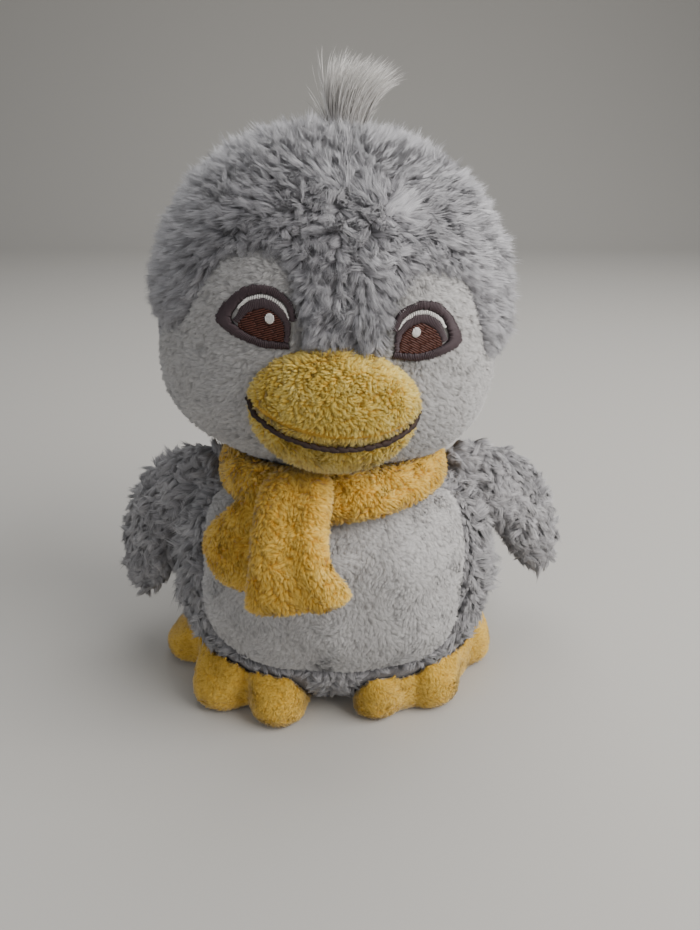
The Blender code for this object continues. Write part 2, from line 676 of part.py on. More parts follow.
def foot(word, side, turn, more, frame):
    low = SOLE + SEAM_GAP
    columns = [FOOT_FROM + 0.6, 15, 19, 25, 31, 35.5, 38.5, 44, 51, 58, 63.5, 67.5, 71, 76, 82, 88, 91.5,
               FOOT_TO - 0.6]

    def rings_of(inset, closed):
        rings = []
        for az in columns:
            skin = foot_section(az, more, low, inset)
            if not closed:
                skin += foot_section(az, more, low, inset + FABRIC)[::-1]
            rings.append([polar(side * (az + turn), r, z) for r, z in skin])
        if closed:
            rings = rings[1:-1]
        ends = [[sum(ring, Vector()) / len(ring)] for ring in (rings[0], rings[-1])]
        return [ends[0]] + rings + [ends[1]]

    new_object(f"foot_{word}_upper", ringed_solid(rings_of(0, False)), "foot_yellow", frame)
    new_object(f"foot_{word}_filling", ringed_solid(rings_of(FABRIC + 1.3, True)), "stuffing", frame)
    plates = []
    for az in columns:
        outer = foot_edge(az, more) - 0.5
        inner = torso_radius(az, SOLE) + FOOT_GAP + 0.2
        plates.append([polar(side * (az + turn), r, z) for r, z in
                       ((outer, 0), (outer, SOLE), (inner, SOLE), (inner, 0))])
    ends = [[sum(plate, Vector()) / 4] for plate in (plates[0], plates[-1])]
    new_object(f"foot_{word}_sole", ringed_solid([ends[0]] + plates + [ends[1]]), "foot_yellow", frame)


# ---- Scarf -----------------------------------------------------------------------------------

def scarf_band(parent):
    """The part of the scarf that goes round the neck, resting on the shoulders."""
    rings = []
    for k in range(30):
        azimuth = 12 * k
        reach = torso_radius(azimuth, 88.0)
        az = math.radians(azimuth)
        out = Vector((math.sin(az), -math.cos(az), 0))
        centre = out * (reach + SCARF_OUT) + Vector((0, 0, SCARF_HEIGHT))
        slope = math.radians(SCARF_SLOPE)
        wide = out * math.cos(slope) - Vector((0, 0, math.sin(slope)))
        thick = out * math.sin(slope) + Vector((0, 0, math.cos(slope)))
        ring = []
        for a in (math.radians(36 * s) for s in range(10)):
            square = (abs(math.cos(a)) ** 2.6 + abs(math.sin(a)) ** 2.6) ** (-1 / 2.6)
            ring.append(centre + wide * (SCARF_WIDE / 2 * square * math.cos(a))
                        + thick * (SCARF_THICK / 2 * square * math.sin(a)))
        rings.append(ring)
    new_object("scarf_band", ringed_solid(rings, looped=True), "scarf_yellow", parent)


# The knot's turn over the band and the two hanging ends, as rows of: reach from the torso's
# axis, height, azimuth of the middle, half width.
KNOT = [(44.2, 97.2, -12.5, 9.5), (47.5, 94.8, -12.5, 9.6), (50.3, 92.7, -12.2, 9.8), (52.7, 90.9, -12, 10.2)]
TAIL_OFF = 9.6            # the middle of the front tail stands this far off the belly
REAR_OFF = 3.4


def on_belly(height, azimuth, half, off):
    return torso_radius(azimuth, height) + off, height, azimuth, half


FRONT_TAIL = [(55.4, 89.2, -12, 10.6), (58.4, 84.6, -11.5, 11.6), on_belly(80, -10.8, 12.9, TAIL_OFF + 0.9),
              on_belly(76, -9.6, 14.8, TAIL_OFF), on_belly(71.5, -8.9, 16.8, TAIL_OFF),
              on_belly(67.5, -8.6, 17.8, TAIL_OFF)]
REAR_TAIL = [on_belly(79.0, -34.5, 11, REAR_OFF), on_belly(76.0, -35.5, 13.5, REAR_OFF),
             on_belly(73, -34.5, 14.8, REAR_OFF), on_belly(67.5, -32, 13.5, REAR_OFF),
             on_belly(63, -29.5, 10.5, REAR_OFF)]
FRONT_TAIL_HINGE = (-11.2, -52.9, 90.0)
REAR_TAIL_HINGE = (-28.0, -41.5, 80.0)


def scarf_piece(name, table, thick, parent):
    """A flat stuffed tube along a path over the shoulders and the belly."""
    rings = []
    for i, (reach, height, azimuth, half) in enumerate(table):
        before, after = table[max(i - 1, 0)], table[min(i + 1, len(table) - 1)]
        run = Vector((after[0] - before[0], after[1] - before[1])).normalized()
        out = Vector((-run.y, run.x))
        ring = []
        for a in (math.radians(30 * s) for s in range(12)):
            square = (abs(math.cos(a)) ** 3 + abs(math.sin(a)) ** 3) ** (-1 / 3)
            lift = thick / 2 * square * math.sin(a)
            turned = azimuth + math.degrees(half * square * math.cos(a) / reach)
            follow = torso_radius(turned, min(height, 84)) - torso_radius(azimuth, min(height, 84))
            ring.append(polar(turned, reach + follow + out.x * lift, height + out.y * lift))
        rings.append(ring)
    ends = [sum(ring, Vector()) / len(ring) for ring in (rings[0], rings[-1])]
    new_object(name, ringed_solid([[ends[0]]] + rings + [[ends[1]]]), "scarf_yellow", parent)


def at_point(x, y, z):
    return Matrix.Translation(Vector((x, y, z)) * MM)


def keep_world(item, frame):
    """Put a piece that was modelled in the toy's own frame under a joint's empty."""
    item.matrix_parent_inverse = frame.matrix_world.inverted()


def build():
    clear_scene()
    torso = empty("torso_frame", Matrix.Identity(4))
    turn = empty("head_turn_axis", at_point(0, 0, NECK_PIVOT), torso)
    tilt = empty("head_tilt_axis", at_point(0, 0, NECK_PIVOT), turn)
    nod = empty("head_nod_axis", at_point(0, 0, NECK_PIVOT), tilt)
    pose = (at_point(*HEAD_CENTRE) @ Matrix.Rotation(math.radians(HEAD_YAW), 4, "Z")
            @ Matrix.Rotation(math.radians(HEAD_ROLL), 4, "Y"))
    head = empty("head_frame", pose, nod)
    head_panels(head)
    head_filling(head)
    beak(head)
    eyes(head)
    hair_tuft(head)

    torso_panels(torso)
    base_panel(torso)
    torso_insides(torso)
    neck(turn, tilt)
    for name in ("neck_filling", "neck_thread"):
        item = bpy.data.objects[name]
        keep_world(item, item.parent)

    for word, (side, out, back, twist) in WINGS.items():
        shoulder = empty(f"wing_{word}_hinge", at_point(side * SHOULDER[0], SHOULDER[1], SHOULDER[2]), torso)
        wing(word, side, empty(f"wing_{word}_frame", wing_frame(side, out, back, twist), shoulder))
    for word, (side, turn, more) in FEET.items():
        hinge = empty(f"foot_{word}_hinge", at_point(side * FOOT_HINGE[0], FOOT_HINGE[1], FOOT_HINGE[2]), torso)
        foot(word, side, turn, more, hinge)
        for name in ("upper", "filling", "sole"):
            keep_world(bpy.data.objects[f"foot_{word}_{name}"], hinge)

    scarf_band(torso)
    scarf_piece("scarf_knot", KNOT, 4.0, torso)
    for name, table, thick, pivot in (("scarf_front_tail", FRONT_TAIL, 6.0, FRONT_TAIL_HINGE),
                                      ("scarf_rear_tail", REAR_TAIL, 4.6, REAR_TAIL_HINGE)):
        hinge = empty(name + "_hinge", at_point(*pivot), torso)
        scarf_piece(name, table, thick, hinge)
        keep_world(bpy.data.objects[name], hinge)


build()
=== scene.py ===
"""Plush penguin: the looks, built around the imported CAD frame.

Every fabric panel is a stuffed skin with its own pile, made as fine three-sided hairs that grow
from the skin in clumps. The eyes and the mouth are laid stitch by stitch.
Lengths are in millimetres inside the helpers and become metres when a mesh is made.
"""
import math

import bmesh
import bpy
import numpy as np
from mathutils import Matrix, Vector, kdtree


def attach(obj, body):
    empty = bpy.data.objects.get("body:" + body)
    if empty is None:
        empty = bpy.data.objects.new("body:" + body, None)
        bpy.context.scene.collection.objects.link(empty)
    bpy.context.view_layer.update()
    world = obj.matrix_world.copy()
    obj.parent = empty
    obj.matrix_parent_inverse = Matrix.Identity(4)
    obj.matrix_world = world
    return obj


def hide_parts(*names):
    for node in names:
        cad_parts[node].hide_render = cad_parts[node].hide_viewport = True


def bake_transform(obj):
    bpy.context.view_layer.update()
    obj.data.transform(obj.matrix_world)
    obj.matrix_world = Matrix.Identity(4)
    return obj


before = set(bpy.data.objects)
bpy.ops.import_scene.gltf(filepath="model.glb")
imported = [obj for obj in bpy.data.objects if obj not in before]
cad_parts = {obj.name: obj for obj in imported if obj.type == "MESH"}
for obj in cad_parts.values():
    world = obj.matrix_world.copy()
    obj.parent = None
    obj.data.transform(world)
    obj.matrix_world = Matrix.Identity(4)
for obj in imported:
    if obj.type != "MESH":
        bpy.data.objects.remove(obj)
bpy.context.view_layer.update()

MM = 0.001
MAX_TRIANGLES = 195000      # the most triangles in one piece of pile; a piece with more would be thinned out when it is exported
SHADES = 64                 # how many columns of hair shades a pile's colour map has
DENSITY = 1.0


# ---- Small helpers ---------------------------------------------------------------------------

def lookup(table, at):
    """Read a smooth curve (Catmull-Rom) through the table's points, flat beyond its ends."""
    x = np.array([p[0] for p in table], float)
    y = np.array([p[1] for p in table], float)
    at = np.clip(np.asarray(at, float), x[0], x[-1])
    i = np.clip(np.searchsorted(x, at, side="left") - 1, 0, len(x) - 2)
    before, after = np.maximum(i - 1, 0), np.minimum(i + 2, len(x) - 1)
    slope0 = (y[i + 1] - y[before]) / (x[i + 1] - x[before])
    slope1 = (y[after] - y[i]) / (x[after] - x[i])
    width = x[i + 1] - x[i]
    t = (at - x[i]) / width
    return ((2 * t**3 - 3 * t**2 + 1) * y[i] + (t**3 - 2 * t**2 + t) * width * slope0
            + (3 * t**2 - 2 * t**3) * y[i + 1] + (t**3 - t**2) * width * slope1)


def unit(v):
    return v / np.maximum(np.linalg.norm(v, axis=-1, keepdims=True), 1e-9)


def waves(points, scale, seed, octaves=9):
    """Smooth noise from -1 to 1 that varies over about `scale` mm."""
    rng = np.random.default_rng(seed)
    total = np.zeros(points.shape[:-1])
    for _ in range(octaves):
        way = unit(rng.normal(size=3)) * (2 * math.pi / scale) * rng.uniform(0.55, 1.5)
        total += np.sin(points @ way + rng.uniform(0, 2 * math.pi))
    return total / math.sqrt(octaves / 2)


def drift(points, scale, seed):
    """A smooth vector noise."""
    return np.stack([waves(points, scale, seed + k, 7) for k in range(3)], axis=-1)


def moved(matrix, points):
    """Points (mm) through a 4x4 matrix (mm)."""
    m = np.array(matrix)
    return points @ m[:3, :3].T + m[:3, 3]


def new_piece(name, verts, faces, material, body, uv=None, smooth=True):
    """A mesh object from points in mm; uv holds one pair for each corner of each face."""
    mesh = bpy.data.meshes.new(name)
    faces = np.asarray(faces, np.int32)
    corners = faces.shape[1]
    mesh.vertices.add(len(verts))
    mesh.vertices.foreach_set("co", (np.asarray(verts, np.float32) * MM).ravel())
    mesh.loops.add(faces.size)
    mesh.loops.foreach_set("vertex_index", faces.ravel())
    mesh.polygons.add(len(faces))
    mesh.polygons.foreach_set("loop_start", np.arange(0, faces.size, corners, dtype=np.int32))
    if uv is not None:
        layer = mesh.uv_layers.new(name="OFBake")
        layer.data.foreach_set("uv", np.asarray(uv, np.float32).ravel())
    mesh.update(calc_edges=True)
    if smooth:
        mesh.shade_smooth()
    mesh.materials.append(material)
    made = bpy.data.objects.new(name, mesh)
    bpy.context.scene.collection.objects.link(made)
    if body:
        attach(made, body)
    return made


# ---- Materials -------------------------------------------------------------------------------

def srgb(r, g, b):
    """A colour from 0-255 screen values, as linear light."""
    out = []
    for c in (r, g, b):
        c = c / 255
        out.append(c / 12.92 if c <= 0.04045 else ((c + 0.055) / 1.055) ** 2.4)
    return (*out, 1.0)


def blank(name, roughness, sheen=0.0, sheen_roughness=0.4):
    made = bpy.data.materials.new(name)
    made.use_nodes = True
    shader = made.node_tree.nodes["Principled BSDF"]
    shader.inputs["Roughness"].default_value = roughness
    shader.inputs["Specular IOR Level"].default_value = 0.25
    shader.inputs["Sheen Weight"].default_value = sheen
    shader.inputs["Sheen Roughness"].default_value = sheen_roughness
    return made, made.node_tree, shader


def ramp(tree, source, colours):
    node = tree.nodes.new("ShaderNodeValToRGB")
    bar = node.color_ramp
    while len(bar.elements) < len(colours):
        bar.elements.new(0.5)
    for i, (at, colour) in enumerate(colours):
        bar.elements[i].position = at
        bar.elements[i].color = colour
    tree.links.new(source, node.inputs["Fac"])
    return node.outputs["Color"]


def pile_material(name, roots, tips, sheen=0.25):
    """Hair: a shade picked along the map's width, and darker at the root than at the tip, as painted shade
    deep in the pile.
    """
    made, tree, shader = blank(name, 0.8, sheen, 0.5)
    place = tree.nodes.new("ShaderNodeUVMap")
    place.uv_map = "OFBake"
    parts = tree.nodes.new("ShaderNodeSeparateXYZ")
    tree.links.new(place.outputs["UV"], parts.inputs["Vector"])
    low = ramp(tree, parts.outputs["X"], [(k / 2, srgb(*shade)) for k, shade in enumerate(roots)])
    high = ramp(tree, parts.outputs["X"], [(k / 2, srgb(*shade)) for k, shade in enumerate(tips)])
    along = tree.nodes.new("ShaderNodeMapRange")
    along.interpolation_type = "SMOOTHSTEP"
    tree.links.new(parts.outputs["Y"], along.inputs["Value"])
    mix = tree.nodes.new("ShaderNodeMix")
    mix.data_type = "RGBA"
    tree.links.new(along.outputs["Result"], mix.inputs["Factor"])
    tree.links.new(low, mix.inputs["A"])
    tree.links.new(high, mix.inputs["B"])
    tree.links.new(mix.outputs["Result"], shader.inputs["Base Color"])
    return made


def cloth_material(name, dark, light, scale=900.0, sheen=0.2, bump=0.15):
    """The backing cloth under a pile: a fine knit with a mottled colour."""
    made, tree, shader = blank(name, 0.9, sheen)
    place = tree.nodes.new("ShaderNodeTexCoord")
    noise = tree.nodes.new("ShaderNodeTexNoise")
    noise.inputs["Scale"].default_value = scale
    noise.inputs["Detail"].default_value = 3.0
    tree.links.new(place.outputs["Object"], noise.inputs["Vector"])
    colour = ramp(tree, noise.outputs["Fac"], [(0.35, dark), (0.68, light)])
    tree.links.new(colour, shader.inputs["Base Color"])
    lift = tree.nodes.new("ShaderNodeBump")
    lift.inputs["Strength"].default_value = bump
    lift.inputs["Distance"].default_value = 0.0006
    tree.links.new(noise.outputs["Fac"], lift.inputs["Height"])
    tree.links.new(lift.outputs["Normal"], shader.inputs["Normal"])
    return made


def thread_material(name, dark, light, roughness=0.45, sheen=0.2):
    """Embroidery thread: fine twisted filaments with a soft gloss. The colour gets lighter with the map's
    width, which runs across each stitch from its sides to its crest: painted shade at the sides and a
    painted highlight on the crest.
    """
    made, tree, shader = blank(name, roughness, sheen)
    place = tree.nodes.new("ShaderNodeTexCoord")
    noise = tree.nodes.new("ShaderNodeTexNoise")
    noise.inputs["Scale"].default_value = 1400.0
    noise.inputs["Detail"].default_value = 2.0
    tree.links.new(place.outputs["Object"], noise.inputs["Vector"])
    stitch = tree.nodes.new("ShaderNodeUVMap")
    stitch.uv_map = "OFBake"
    parts = tree.nodes.new("ShaderNodeSeparateXYZ")
    tree.links.new(stitch.outputs["UV"], parts.inputs["Vector"])
    blend = tree.nodes.new("ShaderNodeMath")
    blend.operation = "MULTIPLY_ADD"
    tree.links.new(noise.outputs["Fac"], blend.inputs[0])
    blend.inputs[1].default_value = 0.5
    tree.links.new(parts.outputs["X"], blend.inputs[2])
    colour = ramp(tree, blend.outputs["Value"], [(0.3, dark), (1.2, light)])
    tree.links.new(colour, shader.inputs["Base Color"])
    shader.inputs["Specular IOR Level"].default_value = 0.5
    return made


# Each pile: dark, middle and light shades at the root, the same at the tip, and the sheen; the root shades
# are darker than the tip shades as painted shade deep in the pile.
GREY_PILE = pile_material("grey_long_pile",
                          ((126, 124, 127), (150, 148, 151), (170, 168, 170)),
                          ((150, 148, 151), (182, 180, 183), (212, 210, 212)), 0.35)
WING_PILE = pile_material("wing_long_pile",
                          ((108, 106, 108), (132, 130, 131), (150, 148, 148)),
                          ((134, 132, 133), (162, 159, 160), (192, 189, 189)), 0.35)
PALE_PILE = pile_material("pale_short_pile",
                          ((158, 155, 153), (174, 171, 169), (186, 183, 181)),
                          ((172, 169, 167), (194, 191, 189), (214, 212, 209)), 0.35)
BEAK_PILE = pile_material("beak_short_pile",
                          ((184, 144, 44), (206, 170, 66), (220, 188, 90)),
                          ((208, 174, 72), (230, 204, 108), (246, 230, 156)), 0.3)
SCARF_PILE = pile_material("scarf_short_pile",
                          ((186, 134, 34), (212, 164, 56), (224, 180, 74)),
                          ((210, 164, 56), (232, 192, 86), (246, 218, 130)), 0.3)
FOOT_PILE = pile_material("foot_short_pile",
                          ((184, 136, 34), (206, 160, 50), (218, 174, 66)),
                          ((208, 164, 58), (226, 186, 82), (238, 206, 110)), 0.35)
TUFT_HAIR = pile_material("tuft_long_hair",
                          ((150, 146, 142), (180, 176, 172), (198, 194, 190)),
                          ((190, 186, 182), (218, 215, 211), (240, 238, 234)), 0.25)
# The backing cloths are darker than their piles: painted shade under the pile, at the hairs' roots.
GREY_CLOTH = cloth_material("grey_backing", srgb(104, 102, 104), srgb(130, 128, 130))
PALE_CLOTH = cloth_material("pale_backing", srgb(158, 155, 152), srgb(180, 177, 174))
BEAK_CLOTH = cloth_material("beak_backing", srgb(160, 118, 32), srgb(190, 150, 56))
SCARF_CLOTH = cloth_material("scarf_backing", srgb(172, 118, 28), srgb(202, 150, 46))
FOOT_CLOTH = cloth_material("foot_backing", srgb(190, 142, 38), srgb(214, 168, 58))
LID_THREAD = thread_material("lid_thread", srgb(24, 15, 18), srgb(70, 54, 58), 0.6, 0.0)
IRIS_THREAD = thread_material("iris_thread", srgb(18, 7, 4), srgb(84, 38, 22), 0.55, 0.0)
WHITE_THREAD = thread_material("white_thread", srgb(150, 146, 142), srgb(226, 223, 218))
MOUTH_THREAD = thread_material("mouth_thread", srgb(16, 6, 3), srgb(46, 24, 12), 0.75, 0.0)
STUFFING = cloth_material("stuffing", srgb(214, 212, 208), srgb(238, 236, 232), 300.0)


# ---- Grids and shells ------------------------------------------------------------------------

def grid_faces(rows, cols, start=0):
    i, j = np.meshgrid(np.arange(rows - 1), np.arange(cols - 1), indexing="ij")
    a = (i * cols + j).ravel() + start
    return np.stack([a, a + 1, a + cols + 1, a + cols], axis=1)


def grid_uv(rows, cols):
    i, j = np.meshgrid(np.arange(rows - 1), np.arange(cols - 1), indexing="ij")
    i, j = i.ravel(), j.ravel()
    u = np.stack([j, j + 1, j + 1, j], axis=1) / (cols - 1)
    v = np.stack([i, i, i + 1, i + 1], axis=1) / (rows - 1)
    return np.stack([u, v], axis=2)


WALL_MAP = [[0, 0], [1, 0], [1, 0.02], [0, 0.02]]


def shell(name, outer, inner, material, body):
    """A closed panel: an outer and an inner grid of points, with walls between their edges."""
    rows, cols = outer.shape[:2]
    count = rows * cols
    top = grid_faces(rows, cols)
    low = grid_faces(rows, cols, count)[:, ::-1]
    edge = np.concatenate([np.arange(cols), np.arange(1, rows) * cols + cols - 1,
                           (rows - 1) * cols + np.arange(cols - 2, -1, -1),
                           np.arange(rows - 2, 0, -1) * cols])
    following = np.roll(edge, -1)
    wall = np.stack([following, edge, edge + count, following + count], axis=1)
    faces = np.concatenate([top, low, wall])
    if not outwards(outer):
        faces = faces[:, ::-1]
    uv = np.concatenate([grid_uv(rows, cols), grid_uv(rows, cols)[:, ::-1],
                         np.tile(np.array(WALL_MAP, float), (len(wall), 1, 1))])
    verts = np.concatenate([outer.reshape(-1, 3), inner.reshape(-1, 3)])
    made = new_piece(name, verts, faces, material, body, uv)
    weld(made)
    return made


def face_outwards(mesh):
    form = bmesh.new()
    form.from_mesh(mesh)
    bmesh.ops.recalc_face_normals(form, faces=form.faces)
    form.to_mesh(mesh)
    form.free()


def stand_for(piece, fill, slot, *nodes):
    """The padded piece takes the place of the nodes, which are hidden."""
    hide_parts(*nodes)


def weld(piece):
    form = bmesh.new()
    form.from_mesh(piece.data)
    bmesh.ops.remove_doubles(form, verts=form.verts, dist=0.01 * MM)
    bmesh.ops.dissolve_degenerate(form, edges=form.edges, dist=0.003 * MM)
    form.to_mesh(piece.data)
    form.free()


def outwards(points):
    """Whether a grid's faces, in row-column order, look away from the toy's upright axis."""
    rows, cols = points.shape[:2]
    a = points[rows // 2, cols // 2]
    right = points[rows // 2, min(cols // 2 + 1, cols - 1)] - a
    up = points[min(rows // 2 + 1, rows - 1), cols // 2] - a
    normal = np.cross(right, up)
    away = a - points.reshape(-1, 3).mean(0)
    return float(normal @ away) > 0 if abs(float(normal @ away)) > 1e-6 else True


def smooth_normals(flat, tris, sign=1):
    normal = np.cross(flat[tris[:, 1]] - flat[tris[:, 0]], flat[tris[:, 2]] - flat[tris[:, 0]]) * sign
    smooth = np.zeros_like(flat)
    for k in range(3):
        np.add.at(smooth, tris[:, k], normal)
    return unit(smooth)


def emitter(points):
    """Triangles and outward normals of a grid, for growing hair on."""
    rows, cols = points.shape[:2]
    quads = grid_faces(rows, cols)
    tris = np.concatenate([quads[:, [0, 1, 2]], quads[:, [0, 2, 3]]])
    flat = points.reshape(-1, 3)
    return flat, tris, smooth_normals(flat, tris, 1 if outwards(points) else -1)


def emitter_of(piece):
    """The same, from a finished closed mesh at rest."""
    mesh = piece.data
    mesh.calc_loop_triangles()
    flat = coordinates(mesh) / MM
    tris = np.zeros(len(mesh.loop_triangles) * 3, np.int32)
    mesh.loop_triangles.foreach_get("vertices", tris)
    tris = tris.reshape(-1, 3)
    return flat, tris, smooth_normals(flat, tris)


# ---- Pile ------------------------------------------------------------------------------------

def scatter(surface, density, rng, keep=None):
    """Roots and normals, `density` to a square millimetre, where keep(roots) says so."""
    flat, tris, normals = surface
    a, b, c = flat[tris[:, 0]], flat[tris[:, 1]], flat[tris[:, 2]]
    area = np.linalg.norm(np.cross(b - a, c - a), axis=1) / 2
    count = int(area.sum() * density)
    pick = np.searchsorted(np.cumsum(area), rng.uniform(0, area.sum(), count))
    pick = np.minimum(pick, len(area) - 1)
    r1, r2 = np.sqrt(rng.uniform(size=count)), rng.uniform(size=count)
    w = np.stack([1 - r1, r1 * (1 - r2), r1 * r2], axis=1)
    roots = sum(w[:, k, None] * flat[tris[pick, k]] for k in range(3))
    norms = unit(sum(w[:, k, None] * normals[tris[pick, k]] for k in range(3)))
    if keep is not None:
        kept = rng.uniform(size=count) < keep(roots)
        roots, norms = roots[kept], norms[kept]
    return roots, norms


def nearest(centres, points):
    tree = kdtree.KDTree(len(centres))
    for i, p in enumerate(centres):
        tree.insert(p, i)
    tree.balance()
    return np.fromiter((tree.find(p)[1] for p in points), np.int64, len(points))


def even(length):
    return lambda roots: np.full(len(roots), length)


def along_skin(vectors, normals):
    return vectors - normals * np.sum(vectors * normals, axis=1, keepdims=True)


def pile(name, surface, material, body, flow, length, density, clump, width=0.42, lift=40.0, droop=20.0,
         curl=0.0, curl_scale=14.0, pull=0.6, messy=0.25, stretch=None, segments=3, seed=1, keep=None,
         round_up=0.6, mottle=0.25, mottle_scale=18.0):
    """Grow hair on a surface in clumps about `clump` mm across.

    flow(roots, normals) gives the way it lies, length(roots) its length in mm. lift is the angle at
    which a clump stands off the skin, and droop how much of it is lost towards the tip. curl swings
    the clumps from side to side; pull draws the tips of a clump together.
    """
    rng = np.random.default_rng(seed)
    roots, norms = scatter(surface, density * DENSITY, rng, keep)
    if not len(roots):
        return []
    middles, middle_norms = scatter(surface, 1 / clump**2, rng)
    squeeze = np.ones(3) if stretch is None else np.array(stretch, float)
    own = nearest(middles * squeeze, roots * squeeze)

    # One path for each clump.
    m_norm = middle_norms
    way = unit(along_skin(flow(middles, m_norm), m_norm) + 1e-6)
    side = np.cross(m_norm, way)
    turn = rng.normal(size=len(middles)) * messy
    turn += waves(middles, curl_scale, seed + 11) * curl * 0.6
    way, side = (way * np.cos(turn)[:, None] + side * np.sin(turn)[:, None],
                 side * np.cos(turn)[:, None] - way * np.sin(turn)[:, None])
    swing = rng.normal(size=len(middles)) * curl * 0.6 + waves(middles, curl_scale, seed + 17) * curl
    stand = np.radians(lift + rng.normal(size=len(middles)) * 30 * messy)
    long = length(middles) * np.exp(rng.normal(size=len(middles)) * 0.12)
    steps = np.linspace(0, 1, segments + 1)
    fine = 4
    path = [np.zeros_like(middles)]
    spot = np.zeros_like(middles)
    for k in range(segments * fine):
        s = (k + 0.5) / (segments * fine)
        angle = stand - math.radians(droop) * s
        bend = swing * (1.6 * s - 0.5) * 1.3
        level = way * np.cos(bend)[:, None] + side * np.sin(bend)[:, None]
        spot = spot + (level * np.cos(angle)[:, None] + m_norm * np.sin(angle)[:, None]) \
            * (long / (segments * fine))[:, None]
        if (k + 1) % fine == 0:
            path.append(spot)
    path = np.stack(path)                                   # step, clump, xyz

    count = len(roots)
    size = np.exp(rng.normal(size=count) * 0.14)
    loose = along_skin(rng.normal(size=(count, 3)), norms) * 0.35
    loose = loose + norms * rng.normal(size=(count, 1)) * 0.25
    own_long = long[own]
    inward = along_skin(middles[own] - roots, norms)
    from_middle = np.linalg.norm(inward, axis=1)
    points = []
    for k, s in enumerate(steps):
        p = roots + path[k][own] * size[:, None]
        p = p + inward * pull * s**1.15
        p = p + loose * (own_long * 0.32 * s**1.4 * messy * 1.6)[:, None]
        points.append(p)
    points = np.stack(points)

    # Three-sided hairs, so that none is seen from its back.
    run = points[-1] - points[0]
    across = unit(np.cross(run, norms + rng.normal(size=(count, 3)) * 0.6))
    other = unit(np.cross(run, across))
    half = width / 2 * np.exp(rng.normal(size=count) * 0.15)
    verts = []
    for k in range(segments):
        thin = (half * (1.0 - 0.55 * steps[k] ** 2))[:, None]
        for corner in range(3):
            a = 2 * math.pi * corner / 3
            verts.append(points[k] + (across * math.cos(a) + other * math.sin(a)) * thin)
    verts.append(points[segments])
    verts = np.stack(verts, axis=1)                         # strand, 3 * segments + 1, xyz
    verts[..., 2] = np.maximum(verts[..., 2], 0.2)
    per = verts.shape[1]
    tris = []
    for k in range(segments - 1):
        for corner in range(3):
            a, b = 3 * k + corner, 3 * k + (corner + 1) % 3
            tris += [(a, b, b + 3), (a, b + 3, a + 3)]
    top = 3 * (segments - 1)
    tris += [(top + corner, top + (corner + 1) % 3, per - 1) for corner in range(3)]
    tris = np.array(tris)

    # Shading: a clump is rounded, so its hairs' normals fan out from its middle.
    radius = clump * 0.75
    fan = -inward / radius * round_up
    shade_normal = unit(norms + fan)

    tone_and_shade = 0.5 + waves(roots, mottle_scale, seed + 23) * mottle * 0.35
    tone_and_shade += (rng.uniform(-1, 1, len(middles)) * mottle * 0.55)[own]
    # Hairs at a clump's edge are made darker and those at its middle lighter: painted shade in the gaps
    # between clumps. The other terms are random mottle in the pile's own colour.
    tone_and_shade += 0.16 - 0.34 * np.clip(from_middle / radius, 0, 1.4) ** 1.5
    tone_and_shade += rng.normal(size=count) * (0.03 + mottle * 0.22)
    column = np.clip((tone_and_shade * SHADES).astype(int), 0, SHADES - 1)

    made = []
    room = MAX_TRIANGLES // len(tris)
    for part in range(0, count, room):
        pick = np.arange(count)[part:part + room]
        n = len(pick)
        v = verts[pick].reshape(-1, 3)
        f = (tris[None] + (np.arange(n) * per)[:, None, None]).reshape(-1, 3)
        height = np.repeat(steps, 3)[:per]
        left = np.array([0, 0.5, 1] * segments + [0.5])
        u = (column[pick][:, None] + 0.1 + 0.8 * left[None]) / SHADES
        h = np.tile(0.02 + 0.96 * height, (n, 1))
        uv = np.stack([u.ravel(), h.ravel()], axis=1)[f.ravel()]
        label = name if count <= room else f"{name}_{part // room + 1}"
        piece = new_piece(label, v, f, material, body, uv)
        normals = np.repeat(shade_normal[pick], per, axis=0)
        piece.data.normals_split_custom_set_from_vertices(normals.tolist())
        made.append(piece)
    return made


# ---- Head ------------------------------------------------------------------------------------

HEAD_CENTRE = (0.0, 0.0, 151.0)
HEAD_HALF = (59.5, 54.0, 57.5)
HEAD_POWER = 2.2
CHEEK_POWER = 2.8
CHEEK_SWELL, CHEEK_AT, CHEEK_SPREAD = 0.03, -26.0, 20.0
NECK_OPENING = -60.0
HEAD_POSE = (Matrix.Translation(HEAD_CENTRE) @ Matrix.Rotation(math.radians(4.2), 4, "Z")
             @ Matrix.Rotation(math.radians(6.5), 4, "Y"))
HEAD_TURN = np.array(HEAD_POSE)[:3, :3]
HOOD_SEAM = [(0, -1.5), (11, -0.5), (13.2, 7), (16, 17), (20, 23.5), (27, 27), (35, 26), (43, 21.5),
             (49, 12), (54, 2.5), (60, -2.5), (67, -3.5), (74, -8), (82, -24), (88, -42), (94, -60)]


def head_size(way):
    a, b, c = HEAD_HALF
    power = np.where(way[..., 2] > 0, HEAD_POWER, CHEEK_POWER)
    level = np.abs(way[..., 0] / a) ** HEAD_POWER + np.abs(way[..., 1] / b) ** HEAD_POWER
    size = (level ** (power / HEAD_POWER) + np.abs(way[..., 2] / c) ** power) ** (-1 / power)
    lean = (np.degrees(np.arcsin(np.clip(way[..., 2], -1, 1))) - CHEEK_AT) / CHEEK_SPREAD
    swell = way[..., 0] ** 2 / (1 - way[..., 2] ** 2 + 1e-9)
    return size * (1 + CHEEK_SWELL * swell * np.exp(-lean**2))


def head_point(azimuth, elevation, off=0.0):
    az, el = np.radians(azimuth), np.radians(elevation)
    way = np.stack([np.sin(az) * np.cos(el), -np.cos(az) * np.cos(el), np.sin(el)], axis=-1)
    return way * (head_size(way) + off)[..., None]


